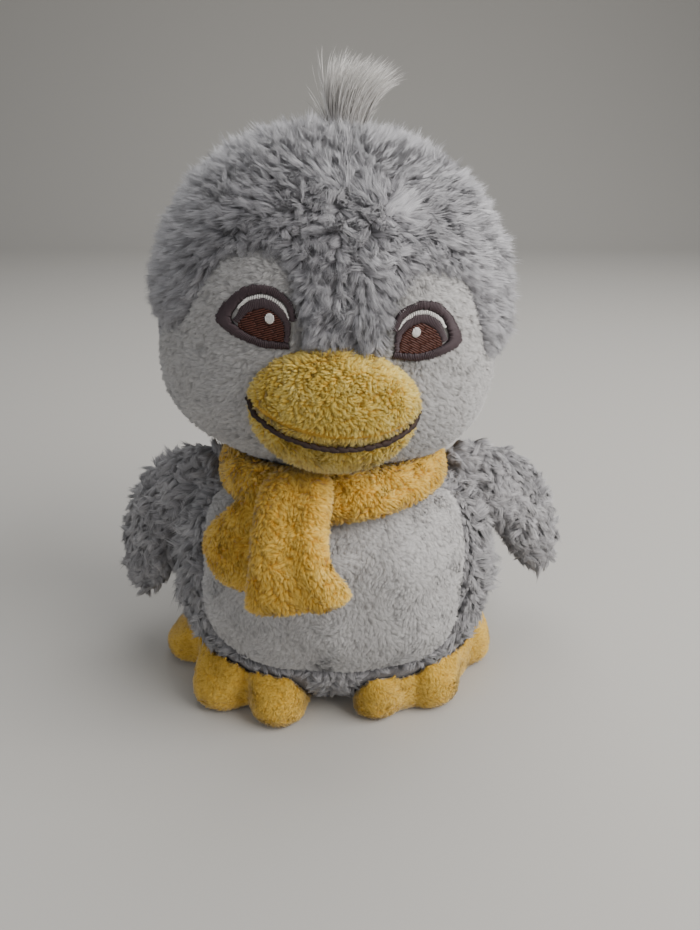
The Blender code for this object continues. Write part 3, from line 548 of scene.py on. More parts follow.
def face_point(x, z, off=0.0):
    a, b, c = HEAD_HALF
    x, z = np.asarray(x, float), np.asarray(z, float)
    power = np.where(z > 0, HEAD_POWER, CHEEK_POWER)
    level = (1 - np.abs(z / c) ** power) ** (HEAD_POWER / power)
    left = np.maximum(0.0, level - np.abs(x / a) ** HEAD_POWER)
    way = unit(np.stack([x, -b * left ** (1 / HEAD_POWER), z], axis=-1))
    return way * (head_size(way) + off)[..., None]


def on_head(points):
    return moved(HEAD_POSE, points)


def off_head(points):
    return (points - np.array(HEAD_CENTRE)) @ HEAD_TURN


def face_place(points):
    """Where a point is on the face: distance from the middle, and height, in the head's own frame."""
    local = off_head(points)
    return local[..., 0], local[..., 2]


def edge_dip(distance, depth, reach):
    """How far a skin sinks into the seam at a distance from it."""
    return depth * np.exp(-(distance / reach) ** 1.5)


def inside_outline(x, z, outline):
    """Whether points are inside a closed outline."""
    inside = np.zeros(x.shape, bool)
    count = len(outline)
    for i in range(count):
        (x0, z0), (x1, z1) = outline[i], outline[(i + 1) % count]
        if z0 == z1:
            continue
        crosses = ((z0 > z) != (z1 > z)) & (x < (x1 - x0) * (z - z0) / (z1 - z0) + x0)
        inside ^= crosses
    return inside


EYE_PATCH = [(13.4, 9.0), (16.0, 14.0), (22.9, 17.0), (29.6, 15.3), (35.0, 10.2), (37.6, 4.2),
             (31.6, 0.2), (23.0, -1.6), (14.6, -1.0), (14.6, 6.6)]
BEAK_HALF_WIDTH, BEAK_TOP, BEAK_BOTTOM, BEAK_CORNER = 25.5, 1.0, -38.5, -17.5
MOUTH_LOW, BEAK_REACH = -22.5, 12.0


def lip_edge(x, low):
    end = np.where(low, BEAK_BOTTOM, BEAK_TOP)
    return BEAK_CORNER + (end - BEAK_CORNER) * np.sqrt(np.maximum(0.0, 1 - (x / BEAK_HALF_WIDTH) ** 2))


def mouth_height(x):
    return MOUTH_LOW + (BEAK_CORNER - MOUTH_LOW) * np.abs(x / BEAK_HALF_WIDTH) ** 2


def beak_height(x, z):
    split = mouth_height(x)
    low = z < split
    edge = lip_edge(x, low)
    gap = edge - split
    along = np.where(np.abs(gap) > 1e-6, (z - split) / np.where(np.abs(gap) > 1e-6, gap, 1), 1.0)
    across = np.sqrt(np.maximum(0.0, 1 - (x / BEAK_HALF_WIDTH) ** 2))
    reach = BEAK_REACH * np.where(low, 0.8, 1.0)
    return reach * across * np.sqrt(np.maximum(0.0, 1 - np.clip(along, 0, 1) ** 2.2))


def under_beak(x, z, margin=0.0):
    low = z < BEAK_CORNER
    half = BEAK_HALF_WIDTH + margin
    end = np.where(low, BEAK_BOTTOM - margin, BEAK_TOP + margin)
    return (x / half) ** 2 + ((z - BEAK_CORNER) / (end - BEAK_CORNER)) ** 2 < 1


def bare_face(points):
    """Where the face's pile grows: not under the embroidery or the beak."""
    x, z = face_place(points)
    front = off_head(points)[..., 1] < 0
    eye = inside_outline(np.abs(x), z, EYE_PATCH)
    return np.where(front & (eye | under_beak(x, z)), 0.0, 1.0)


def bare_peak(points):
    x, z = face_place(points)
    return np.where((off_head(points)[..., 1] < 0) & under_beak(x, z, -1.2), 0.0, 1.0)


def head_flow(roots, norms):
    """The hood's pile falls from the crown, with swirls."""
    local = off_head(roots)
    down = np.stack([local[:, 0] * 0.35, local[:, 1] * 0.5, np.full(len(local), -42.0)], axis=1)
    top = np.clip((local[:, 2] - 30) / 25, 0, 1)[:, None]
    outward = np.stack([local[:, 0], local[:, 1], np.zeros(len(local))], axis=1)
    way = unit(down) * (1 - top) + unit(outward) * top
    way = way + drift(roots, 26.0, 5) * 0.42
    return way @ HEAD_TURN.T


def face_flow(roots, norms):
    """The face's short pile is brushed away from the beak and down."""
    x = face_place(roots)[0]
    way = np.stack([x * 0.05, np.zeros_like(x), np.full(len(x), -0.8)], axis=1)
    way = way + drift(roots, 16.0, 9) * 0.6
    return way @ HEAD_TURN.T


def seam_distance(az, el):
    """About how far, in mm, a point of the head is from the hood seam."""
    here = lookup(HOOD_SEAM, az)
    slope = (lookup(HOOD_SEAM, az + 0.5) - lookup(HOOD_SEAM, az - 0.5))
    return np.abs(el - here) * 0.98 / np.hypot(1, slope)


CHIN_TUCK = 3.4


def head_skins():
    for side, word in ((-1, "left"), (1, "right")):
        az = np.concatenate([np.linspace(0, 94, 80), np.linspace(96, 180, 40)])
        t = np.linspace(0, 1, 60)
        low = np.maximum(lookup(HOOD_SEAM, az), NECK_OPENING)
        low = np.where(az > 94, NECK_OPENING, low)
        el = low[None] + (90.0 - low[None]) * t[:, None]
        azg = np.broadcast_to(az, el.shape)

        def crown(off):
            x_off = np.abs(np.sin(np.radians(azg)) * np.cos(np.radians(el))) * 57
            dip = edge_dip(seam_distance(azg, el), 1.6, 1.5) * (azg < 95) + edge_dip(x_off, 1.3, 1.5)
            p = head_point(side * azg, el, off - dip)
            p[..., 0] = side * np.maximum(np.abs(p[..., 0]), 0.05)
            return on_head(p)
        outer = crown(0.0)
        piece = shell("crown_%s_skin" % word, outer, crown(-2.4), GREY_CLOTH, "head")
        stand_for(piece, 0.85, "crown_" + word, "crown_" + word)

        def crown_length(roots):
            local = off_head(roots)
            x, z = local[:, 0], local[:, 2]
            el_here = np.degrees(np.arcsin(np.clip(z / np.linalg.norm(local, axis=1), -1, 1)))
            az_here = np.degrees(np.arctan2(np.abs(x), -local[:, 1]))
            near = np.clip(seam_distance(az_here, el_here) / 9, 0, 1) * (az_here < 96) + (az_here >= 96)
            temple = np.clip(2.2 - np.abs(az_here - 102) / 20, 0, 1) * np.clip((2 - el_here) / 9, 0, 1)
            return (3.6 + 1.8 * near) * (1 - 0.78 * temple)
        pile("crown_%s_pile" % word, emitter(outer), GREY_PILE, "head", head_flow, crown_length, 13.0, 1.7,
             width=0.38, lift=60, droop=20, curl=0.3, curl_scale=10, pull=0.2, messy=0.5, segments=1,
             seed=21 + side, keep=bare_peak, round_up=0.35, mottle=0.22,
             mottle_scale=14)

        az = np.linspace(0, 94, 84)
        t = np.linspace(0, 1, 60)
        high = np.maximum(lookup(HOOD_SEAM, az), NECK_OPENING + 0.02)
        el = NECK_OPENING + (high - NECK_OPENING)[None] * t[:, None]
        azg = np.broadcast_to(az, el.shape)

        def face(off):
            x_off = np.abs(np.sin(np.radians(azg)) * np.cos(np.radians(el))) * 57
            dip = edge_dip(seam_distance(azg, el), 1.6, 1.5) + edge_dip(x_off, 0.8, 1.2)
            tuck = CHIN_TUCK * np.clip((-24 - el) / 22, 0, 1) ** 1.5
            p = head_point(side * azg, el, off - dip - tuck)
            p[..., 0] = side * np.maximum(np.abs(p[..., 0]), 0.05)
            return on_head(p)
        outer = face(0.0)
        piece = shell("face_%s_skin" % word, outer, face(-2.2), PALE_CLOTH, "head")
        stand_for(piece, 0.85, "face_" + word, "face_" + word, "head_filling")
        pile("face_%s_pile" % word, emitter(outer), PALE_PILE, "head", face_flow, even(1.5),
             12.0, 1.2, width=0.36, lift=44, droop=12, curl=0.15, pull=0.2, messy=0.45, segments=1,
             seed=31 + side, keep=bare_face, round_up=0.3, mottle=0.16, mottle_scale=9)


# ---- Torso -----------------------------------------------------------------------------------

TORSO_TOP, TORSO_POWER, BASE_RIM = 92.0, 2.2, 26.0
TORSO_HALF_WIDTH = [(0, 42), (4, 49.5), (9, 54.5), (16, 59), (28, 62), (42, 62.5), (58, 61), (72, 57),
                    (81, 51.5), (86.5, 44), (90.5, 34.5), (92, 28)]
TORSO_FRONT = [(0, 33), (4, 39.5), (9, 44), (16, 48.5), (28, 53.5), (42, 56.5), (58, 56.5), (72, 54),
               (81, 49.5), (86.5, 43.5), (90.5, 36), (92, 28)]
TORSO_BACK = [(0, 35), (4, 41), (9, 45), (16, 48.5), (28, 51.5), (42, 52), (58, 50.5), (72, 47),
              (81, 42), (86.5, 36), (90.5, 29.5), (92, 25)]
BELLY_MIDDLE, BELLY_HALF_HEIGHT, BELLY_HALF_WIDTH, BELLY_POWER = 66.5, 40.7, 50.0, 2.3


def torso_radius(azimuth, height):
    az = np.radians(azimuth)
    wide = lookup(TORSO_HALF_WIDTH, height)
    deep = np.where(np.cos(az) > 0, lookup(TORSO_FRONT, height), lookup(TORSO_BACK, height))
    return (np.abs(np.sin(az) / wide) ** TORSO_POWER
            + np.abs(np.cos(az) / deep) ** TORSO_POWER) ** (-1 / TORSO_POWER)


def polar(azimuth, reach, height):
    az = np.radians(azimuth)
    return np.stack(np.broadcast_arrays(reach * np.sin(az), -reach * np.cos(az), height), axis=-1)


def torso_point(azimuth, height, off=0.0):
    return polar(azimuth, torso_radius(azimuth, height) + off, height)


def belly_edge(height):
    share = np.minimum(1.0, np.abs((height - BELLY_MIDDLE) / BELLY_HALF_HEIGHT))
    power = np.where(height < BELLY_MIDDLE, 4.2, BELLY_POWER)
    x = BELLY_HALF_WIDTH * (1 - share**power) ** (1 / power)
    wide, deep = lookup(TORSO_HALF_WIDTH, height), lookup(TORSO_FRONT, height)
    x = np.minimum(x, 0.95 * wide)
    y = deep * (1 - (x / wide) ** TORSO_POWER) ** (1 / TORSO_POWER)
    return np.degrees(np.arctan2(x, y))


def torso_flow(roots, norms):
    way = np.stack([roots[:, 0] * 0.004, roots[:, 1] * 0.004, np.full(len(roots), -1.0)], axis=1)
    return way + drift(roots, 24.0, 41) * 0.5


def belly_flow(roots, norms):
    way = np.stack([roots[:, 0] * 0.006, np.zeros(len(roots)), np.full(len(roots), -0.8)], axis=1)
    return way + drift(roots, 15.0, 47) * 0.55


def over_feet(roots):
    """Pile is thinned out where a foot lies against the body."""
    az = np.abs(np.degrees(np.arctan2(roots[:, 0], -roots[:, 1])))
    near = (az > 10) & (az < 97)
    return np.where(near & (roots[:, 2] < 25.0), 0.0, 1.0)


def back_length(roots):
    """The back's pile is shorter beside the belly and above the feet."""
    az = np.abs(np.degrees(np.arctan2(roots[:, 0], -roots[:, 1])))
    beside = np.clip((az - belly_edge(np.clip(roots[:, 2], BASE_RIM, TORSO_TOP))) / 14, 0, 1)
    low = np.clip((roots[:, 2] - 22) / 22, 0, 1)
    return 2.6 + 4.6 * np.minimum(beside, 0.12 + 0.88 * low)


def torso_skins():
    z = np.concatenate([np.linspace(BASE_RIM, 84, 50), np.linspace(85, TORSO_TOP, 12)])
    edge = belly_edge(z)
    t = np.linspace(-1, 1, 90)
    az = edge[:, None] * t[None]
    zg = np.broadcast_to(z[:, None], az.shape)

    def belly(off):
        radius = torso_radius(az, zg)
        gap = np.radians(edge[:, None] - np.abs(az)) * radius
        dip = edge_dip(gap, 1.4, 1.6) + edge_dip(zg - BASE_RIM, 1.4, 1.6)
        soft = waves(torso_point(az, zg), 34.0, 61, 6) * 0.55
        return torso_point(az, zg, off - dip + soft)
    outer = belly(0.0)
    piece = shell("belly_skin", outer, belly(-2.2), PALE_CLOTH, "torso")
    stand_for(piece, 0.8, "belly_panel", "belly_panel")
    pile("belly_pile", emitter(outer), PALE_PILE, "torso", belly_flow, even(1.3), 13.0, 1.1,
         width=0.36, lift=32, droop=10, curl=0.1, pull=0.12, messy=0.4, segments=1, seed=51,
         round_up=0.3, mottle=0.15, mottle_scale=11,
         keep=lambda r: np.where(r[:, 2] < 88, 1.0, 0.4))

    for side, word in ((-1, "left"), (1, "right")):
        t = np.linspace(0, 1, 80)
        az = edge[:, None] + (180 - edge[:, None]) * t[None]
        zg = np.broadcast_to(z[:, None], az.shape)

        def back(off):
            radius = torso_radius(az, zg)
            gap = np.radians(az - edge[:, None]) * radius
            middle = np.radians(180 - az) * radius
            dip = edge_dip(gap, 1.4, 1.6) + edge_dip(middle, 1.3, 1.6) + edge_dip(zg - BASE_RIM, 1.4, 1.6)
            p = torso_point(side * az, zg, off - dip)
            p[..., 0] = np.where(az > 90, side * np.maximum(np.abs(p[..., 0]), 0.05), p[..., 0])
            return p
        outer = back(0.0)
        piece = shell("back_%s_skin" % word, outer, back(-2.4), GREY_CLOTH, "torso")
        stand_for(piece, 0.8, "back_" + word, "back_" + word)
        pile("back_%s_pile" % word, emitter(outer), WING_PILE, "torso", torso_flow,
             back_length, 5.8, 2.1, width=0.5, lift=48, droop=40, curl=1.0, curl_scale=8,
             pull=0.28, messy=0.46, segments=2, seed=61 + side, mottle=0.26,
             keep=lambda r: np.where(r[:, 2] < 88, 1.0, 0.35) * over_feet(r))

    count = 130
    az = np.linspace(-180, 180, count)
    heights = np.array([0.0, 0.6, 1.6, 3, 5, 8, 11, 14, 17, 20, 22.5, 24.2, 25.2, 25.7, BASE_RIM])
    rows = [np.zeros((count, 3))]
    rows += [polar(az, torso_radius(az, 0.0) * share, 0.0) for share in (0.35, 0.7, 0.92)]
    for h in heights[1:]:
        rows.append(torso_point(az, h, -edge_dip(BASE_RIM - h, 1.4, 1.6)))
    outer = np.stack(rows)
    inner = np.stack([row * np.array([0.96, 0.95, 1.0]) + np.array([0, 0, 1.2 if k < 4 else 0])
                      for k, row in enumerate(rows)])
    piece = shell("base_skin", outer, inner, GREY_CLOTH, "torso")
    stand_for(piece, 0.7, "base_panel", "base_panel")
    pile("base_pile", emitter(outer[4:]), WING_PILE, "torso", torso_flow, even(2.8), 6.2,
         2.0, width=0.4, lift=50, droop=34, curl=0.9, curl_scale=8, pull=0.34, messy=0.5, segments=2,
         seed=71, mottle=0.26, keep=lambda r: (r[:, 2] > 3.5) * over_feet(r))


# ---- Padding: cloth simulation ---------------------------------------------------------------

def map_round(piece):
    """A simple colour map: each face is laid out by the side that it looks to."""
    mesh = piece.data
    layer = mesh.uv_layers.get("OFBake") or mesh.uv_layers.new(name="OFBake")
    co = coordinates(mesh)
    low, high = co.min(0), co.max(0)
    share = (co - low) / np.maximum(high - low, 1e-6)
    corner = np.zeros(len(mesh.loops), np.int32)
    mesh.loops.foreach_get("vertex_index", corner)
    normal = np.zeros(len(mesh.polygons) * 3)
    mesh.polygons.foreach_get("normal", normal)
    totals = np.zeros(len(mesh.polygons), np.int32)
    mesh.polygons.foreach_get("loop_total", totals)
    normal = np.repeat(normal.reshape(-1, 3), totals, axis=0)
    axis = np.abs(normal).argmax(1)
    back = normal[np.arange(len(axis)), axis] > 0
    first = np.where(axis == 0, 1, 0)
    second = np.where(axis == 2, 1, 2)
    p = share[corner]
    rows = np.arange(len(corner))
    u = (axis + 0.03 + 0.94 * p[rows, first]) / 3
    v = (back + 0.03 + 0.94 * p[rows, second]) / 2
    layer.data.foreach_set("uv", np.stack([u, v], axis=1).astype(np.float32).ravel())


def place_points(piece, points, floor):
    if floor is not None:
        points[:, 2] = np.maximum(points[:, 2], floor * MM)
    piece.data.vertices.foreach_set("co", points.astype(np.float32).ravel())


def puff(piece, voxel, pressure, cap, floor=None, smooth=4):
    """Stuff a closed shape: remesh it evenly, blow it up as cloth for 20 steps, and keep the result."""
    scene = bpy.context.scene
    remesh = piece.modifiers.new("even", "REMESH")
    remesh.mode = "VOXEL"
    remesh.voxel_size = voxel * MM
    soften = piece.modifiers.new("soften", "SMOOTH")
    soften.factor = 0.5
    soften.iterations = smooth
    apply_modifiers(piece)
    start = coordinates(piece.data)
    cloth = piece.modifiers.new("cloth", "CLOTH")
    cloth.settings.quality = 5
    cloth.settings.mass = 0.15
    cloth.settings.use_pressure = True
    cloth.settings.uniform_pressure_force = pressure
    cloth.settings.effector_weights.gravity = 0
    cloth.settings.tension_stiffness = 15
    cloth.settings.compression_stiffness = 15
    cloth.settings.bending_stiffness = 0.5
    cloth.collision_settings.use_collision = False
    for step in range(1, 21):
        scene.frame_set(step)
    apply_modifiers(piece)
    scene.frame_set(1)
    now = coordinates(piece.data)
    shift = now - start
    far = np.linalg.norm(shift, axis=1, keepdims=True)
    now = start + shift * np.minimum(1.0, cap * MM / np.maximum(far, 1e-9))
    place_points(piece, now, floor)
    divide = piece.modifiers.new("divide", "SUBSURF")
    divide.levels = divide.render_levels = 1
    apply_modifiers(piece)
    if floor is not None:
        place_points(piece, coordinates(piece.data), floor)
    piece.data.update()
    piece.data.shade_smooth()
    map_round(piece)
    return piece


def coordinates(mesh):
    co = np.zeros(len(mesh.vertices) * 3)
    mesh.vertices.foreach_get("co", co)
    return co.reshape(-1, 3)


def apply_modifiers(piece):
    graph = bpy.context.evaluated_depsgraph_get()
    graph.update()
    done = bpy.data.meshes.new_from_object(piece.evaluated_get(graph))
    old = piece.data
    piece.modifiers.clear()
    piece.data = done
    bpy.data.meshes.remove(old)
    done.name = piece.name


def capped(rings):
    """The rings with a pole at the middle of the first and of the last."""
    return [rings[0].mean(0)[None]] + rings + [rings[-1].mean(0)[None]]


def loft(name, rings, material, body, looped=False):
    """A closed form through rings of points; a ring of one point is a pole."""
    verts = np.concatenate(rings)
    starts = np.concatenate([[0], np.cumsum([len(r) for r in rings])])
    pairs = [(k, k + 1) for k in range(len(rings) - 1)]
    if looped:
        pairs.append((len(rings) - 1, 0))
    faces = []
    for k, m in pairs:
        a, b, low, high = starts[k], starts[m], len(rings[k]), len(rings[m])
        count = max(low, high)
        for j in range(count):
            n = (j + 1) % count
            if low == 1:
                faces.append((a, b + n, b + j))
            elif high == 1:
                faces.append((a + j, a + n, b))
            else:
                faces.append((a + j, a + n, b + n, b + j))
    mesh = bpy.data.meshes.new(name)
    mesh.from_pydata([tuple(v * MM) for v in verts], [], faces)
    face_outwards(mesh)
    mesh.shade_smooth()
    mesh.materials.append(material)
    made = bpy.data.objects.new(name, mesh)
    bpy.context.scene.collection.objects.link(made)
    map_round(made)
    if body:
        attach(made, body)
    return made


# ---- Beak and mouth --------------------------------------------------------------------------

def beak_flow(roots, norms):
    x = face_place(roots)[0]
    way = np.stack([x * 0.012, np.zeros_like(x), np.full(len(x), -0.5)], axis=1)
    return (way + drift(roots, 9.0, 83) * 0.5) @ HEAD_TURN.T


def mouth_clear(roots):
    """No pile grows under the mouth's stitches."""
    x, z = face_place(roots)
    return (np.abs(z - mouth_height(np.clip(x, -BEAK_HALF_WIDTH, BEAK_HALF_WIDTH))) > 0.9) * 1.0


def beak():
    columns = BEAK_HALF_WIDTH * np.sin(np.radians(np.linspace(-87, 87, 90)))
    t = np.linspace(0, 1, 44)[:, None] ** 1.1
    for low, word, seed in ((False, "upper", 91), (True, "lower", 93)):
        sign = -1 if low else 1
        start = mouth_height(columns)[None] + sign * 0.15
        end = lip_edge(columns, low)[None] + sign * 0.5
        z = start + (end - start) * t
        x = np.broadcast_to(columns, z.shape)

        def skin(off):
            dip = edge_dip(np.abs(z - mouth_height(x)), 2.2, 2.2)
            return on_head(face_point(x, z, off + np.maximum(beak_height(x, z) * 0.98 - dip, 0) + 0.2))
        outer = skin(0.5)
        inner = on_head(face_point(x, z, 0.15 + np.maximum(beak_height(x, z) * 0.98 - 4.4, 0)))
        piece = shell(word + "_beak_skin", outer, inner, BEAK_CLOTH, "head")
        stand_for(piece, 0.9, word + "_beak", word + "_beak")
        pile(word + "_beak_pile", emitter(outer), BEAK_PILE, "head", beak_flow, even(1.3),
             24.0, 0.85, width=0.29, lift=62, droop=12, curl=0.4, pull=0.6, messy=0.45, segments=1,
             seed=seed, stretch=(0.4, 1, 1), round_up=0.6, mottle=0.26, mottle_scale=14,
             keep=mouth_clear)
    mouth()


def tube(points, radius, sides, ply=0.0, twist=0.0):
    """Rings round a line of points, rounded off at both ends; ply cuts a twisted groove in it."""
    count = len(points)
    rings = [points[:1]]
    run = unit(np.gradient(points, axis=0))
    up = np.broadcast_to(np.array([0.0, 0.0, 1.0]), run.shape)
    side = unit(np.cross(run, up))
    top = np.cross(side, run)
    for k in range(count):
        s = (k + 0.5) / count
        size = radius * (1 - abs(2 * s - 1) ** 5) ** 0.5
        ring = []
        for j in range(sides):
            a = 2 * math.pi * j / sides
            r = size * (1 + ply * math.cos(2 * a - twist * s))
            ring.append(points[k] + side[k] * r * math.cos(a) + top[k] * r * math.sin(a))
        rings.append(np.array(ring))
    rings.append(points[-1:])
    return rings


MOUTH_STITCH = 2.7


def mouth():
    """The thick dark line of back stitches along the mouth."""
    rng = np.random.default_rng(5)
    reach = BEAK_HALF_WIDTH + 0.9
    x = np.linspace(-reach, reach, 400)
    z = mouth_height(np.clip(x, -BEAK_HALF_WIDTH, BEAK_HALF_WIDTH))
    off = np.maximum(beak_height(np.clip(x, -25.3, 25.3), z) - 0.6, 0.9) + 0.7
    line = on_head(face_point(x, z, off))
    gone = np.concatenate([[0], np.cumsum(np.linalg.norm(np.diff(line, axis=0), axis=1))])
    number = int(gone[-1] / MOUTH_STITCH)
    pieces = []
    for k in range(number):
        a, b = gone[-1] * k / number, gone[-1] * (k + 1) / number
        at = np.linspace(a - 0.55, b + 0.55, 9)
        points = np.stack([np.interp(at, gone, line[:, c]) for c in range(3)], axis=1)
        lean = rng.normal() * 0.26
        points[:, 2] += lean * np.linspace(-1, 1, 9) + rng.normal() * 0.10
        points[:, 1] -= 0.25 * np.sin(np.linspace(0, math.pi, 9))
        pieces.append(loft("mouth_stitch", tube(points, 0.85 + rng.normal() * 0.08, 10, 0.16, 9.0),
                           MOUTH_THREAD, None))
    made = joined(pieces, "mouth_stitches")
    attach(made, "head")
    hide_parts("mouth_stitching")


def joined(pieces, name):
    """Several meshes as one object."""
    form = bmesh.new()
    for piece in pieces:
        form.from_mesh(piece.data)
    mesh = bpy.data.meshes.new(name)
    form.to_mesh(mesh)
    form.free()
    mesh.materials.append(pieces[0].data.materials[0])
    for piece in pieces:
        old = piece.data
        bpy.data.objects.remove(piece)
        bpy.data.meshes.remove(old)
    mesh.shade_smooth()
    made = bpy.data.objects.new(name, mesh)
    bpy.context.scene.collection.objects.link(made)
    map_round(made)
    return made


# ---- Eyes ------------------------------------------------------------------------------------

LID_OUTER = [(13.9, 8.2), (16.1, 13.5), (22.9, 16.5), (29.4, 14.7), (34.6, 9.7), (37.0, 4.1),
             (31.4, 0.6), (23.0, -1.1), (15.2, -0.6)]
LID_INNER = [(15.4, 7.7), (17.4, 12.0), (23.0, 14.2), (28.5, 12.4), (31.8, 8.5), (32.9, 5.0),
             (29.2, 2.6), (23.0, 1.0), (15.8, 1.2)]
RIM_OUTER = [(15.5, 1.6), (15.4, 6.6), (18.1, 10.9), (23.1, 12.8), (28.5, 10.8), (32.2, 5.3)]
RIM_INNER = [(16.9, 1.7), (17.1, 5.9), (19.2, 8.7), (23.0, 10.2), (27.4, 8.3), (30.4, 4.6)]
WHITE_OUTER = [(16.2, 8.9), (17.9, 11.9), (23.0, 14.0), (28.2, 12.3), (31.0, 9.2)]
WHITE_INNER = [(16.0, 7.9), (18.3, 10.7), (23.1, 12.7), (28.2, 10.9), (30.4, 8.6)]
CATCHLIGHT, CATCHLIGHT_RADIUS = (21.3, 7.5), 1.5


def matched(points, count):
    """Points along a smooth curve, spaced by the given points and not by length."""
    p = np.array(points, float)
    t = np.arange(len(p), dtype=float)
    at = np.linspace(0, len(p) - 1, count)
    return np.stack([lookup(list(zip(t, p[:, k])), at) for k in range(2)], axis=1)


def stitches(name, pairs, side, width, lift, height, material):
    """Each pair of points on the face is one stitch of thread: a low rounded ridge."""
    verts, faces = [], []
    steps = np.linspace(0, 1, 5)
    for a, b in pairs:
        run = b - a
        span = np.linalg.norm(run)
        if span < 0.15:
            continue
        across = np.array([-run[1], run[0]]) / span * width / 2
        first = len(verts)
        for s in steps:
            middle = a + run * s
            arch = math.sin(math.pi * min(max(s, 0.04), 0.96)) ** 0.35
            slim = 0.55 + 0.45 * arch
            for shift, up in ((-1, 0), (0, 1), (1, 0), (0, -1)):
                at = middle + across * shift * slim
                off = lift + (height * arch if up == 1 else (-0.25 if up == -1 else height * 0.25 * arch))
                verts.append((at[0], at[1], off))
        for k in range(len(steps) - 1):
            for j in range(4):
                n = (j + 1) % 4
                r = first + 4 * k
                faces.append((r + j, r + n, r + 4 + n, r + 4 + j))
        faces.append((first + 3, first + 2, first + 1, first))
        last = first + 4 * (len(steps) - 1)
        faces.append((last, last + 1, last + 2, last + 3))
    v = np.array(verts)
    points = on_head(face_point(side * v[:, 0], v[:, 1], v[:, 2]))
    # Across a stitch the map's width is high on its crest and low at its sides, so the crest is coloured
    # light and the sides dark: a painted highlight and painted shade.
    across_of = np.array([0.05, 0.95, 0.05, 0.0])
    face_at = np.array(faces)
    place = face_at % 4
    uv = np.stack([across_of[place], (face_at // 4 % len(steps)) / len(steps) * 0.9 + 0.05], axis=2)
    piece = new_piece(name, points, faces, material, "head", uv)
    face_outwards(piece.data)
    return piece


def backing(name, outer, inner, side, low, high, material):
    """A thin pad of underlay between two curves on the face."""
    rows = 7
    t = np.linspace(0, 1, rows)[:, None, None]
    flat = outer[None] * (1 - t) + inner[None] * t
    top = on_head(face_point(side * flat[..., 0], flat[..., 1], high))
    base = on_head(face_point(side * flat[..., 0], flat[..., 1], low))
    piece = shell(name, top, base, material, "head")
    return piece


def satin(outer, inner, rng, ragged=0.16):
    """Stitches laid side by side from one curve to the other."""
    jitter = rng.uniform(-ragged, ragged, (len(outer), 2))
    way = unit(outer - inner)
    return list(zip(inner - way * jitter[:, :1], outer + way * jitter[:, 1:]))


def crossing_lines(outline, angle, spacing, rng):
    """Parallel stitches that fill an outline, each row cut into lengths like brickwork."""
    way = np.array([math.cos(angle), math.sin(angle)])
    across = np.array([-way[1], way[0]])
    offs = outline @ across
    rows = np.arange(offs.min() + spacing / 2, offs.max(), spacing)
    pairs = []
    for k, off in enumerate(rows):
        hits = []
        for i in range(len(outline)):
            p, q = outline[i], outline[(i + 1) % len(outline)]
            a, b = p @ across - off, q @ across - off
            if (a > 0) != (b > 0):
                hits.append((p + (q - p) * a / (a - b)) @ way)
        hits.sort()
        for start, end in zip(hits[::2], hits[1::2]):
            cut = start + rng.uniform(1.4, 3.4) if k % 2 else start + rng.uniform(3.0, 4.6)
            at = start
            while at < end:
                stop = min(cut, end)
                pairs.append((across * off + way * (at + 0.02), across * off + way * (stop + 0.05)))
                at = stop
                cut = at + rng.uniform(3.0, 4.6)
    return pairs


def eyes():
    for side, word in ((-1, "left"), (1, "right")):
        rng = np.random.default_rng(100 + side)
        outer, inner = matched(LID_OUTER, 112), matched(LID_INNER, 112)
        slot = f"eye_{word}_outline"
        pad = backing(f"eye_{word}_lid_pad", outer, inner, side, 0.1, 0.85, LID_THREAD)
        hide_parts(slot)
        lid = satin(outer, inner, rng, 0.34)
        rim_outer, rim_inner = matched(RIM_OUTER, 52), matched(RIM_INNER, 52)
        rim = satin(rim_outer, rim_inner, rng, 0.22)
        stitches(f"eye_{word}_lid_stitches", lid, side, 0.66, 0.85, 0.7, LID_THREAD)
        stitches(f"eye_{word}_rim_stitches", rim, side, 0.7, 0.85, 0.5, LID_THREAD)

        slot = f"eye_{word}_iris"
        bottom = matched([(30.4, 3.6), (27.5, 2.3), (23.0, 1.2), (16.9, 1.5)], 30)
        outline = np.concatenate([matched(RIM_INNER, 60), bottom])
        middle = outline.mean(0)
        closed = np.concatenate([outline, outline[:1]])
        pad = backing(f"eye_{word}_iris_pad", closed * 1.03 - middle * 0.03,
                      np.broadcast_to(middle, (len(outline) + 1, 2)) + (closed - middle) * 0.02,
                      side, 0.1, 0.7, IRIS_THREAD)
        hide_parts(slot)
        fill = crossing_lines(outline, math.radians(-24), 0.62, rng)
        stitches(f"eye_{word}_iris_stitches", fill, side, 0.66, 0.75, 0.45, IRIS_THREAD)

        slot = f"eye_{word}_white"
        outer, inner = matched(WHITE_OUTER, 34), matched(WHITE_INNER, 34)
        pad = backing(f"eye_{word}_white_pad", outer, inner, side, 0.1, 0.7, WHITE_THREAD)
        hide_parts(slot)
        stitches(f"eye_{word}_white_stitches", satin(outer, inner, rng, 0.1), side, 0.66, 0.72, 0.42,
                 WHITE_THREAD)

        slot = f"eye_{word}_catchlight"
        turn = np.linspace(0, 2 * math.pi, 30)
        oval = np.stack([np.cos(turn) * 0.85, np.sin(turn)], axis=1)
        spot = np.array(CATCHLIGHT) + CATCHLIGHT_RADIUS * oval
        fill = crossing_lines(spot, math.radians(80), 0.36, rng)
        piece = stitches(f"eye_{word}_catchlight_stitches", fill, side, 0.5, 1.15, 0.4, WHITE_THREAD)
        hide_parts(slot)


# ---- Tuft ------------------------------------------------------------------------------------

TUFT_LENGTH, TUFT_HAIRS = 23.5, 1250
TUFT_PATCH = (5.6, 3.4)     # half the width and half the depth of the patch that the hairs grow from


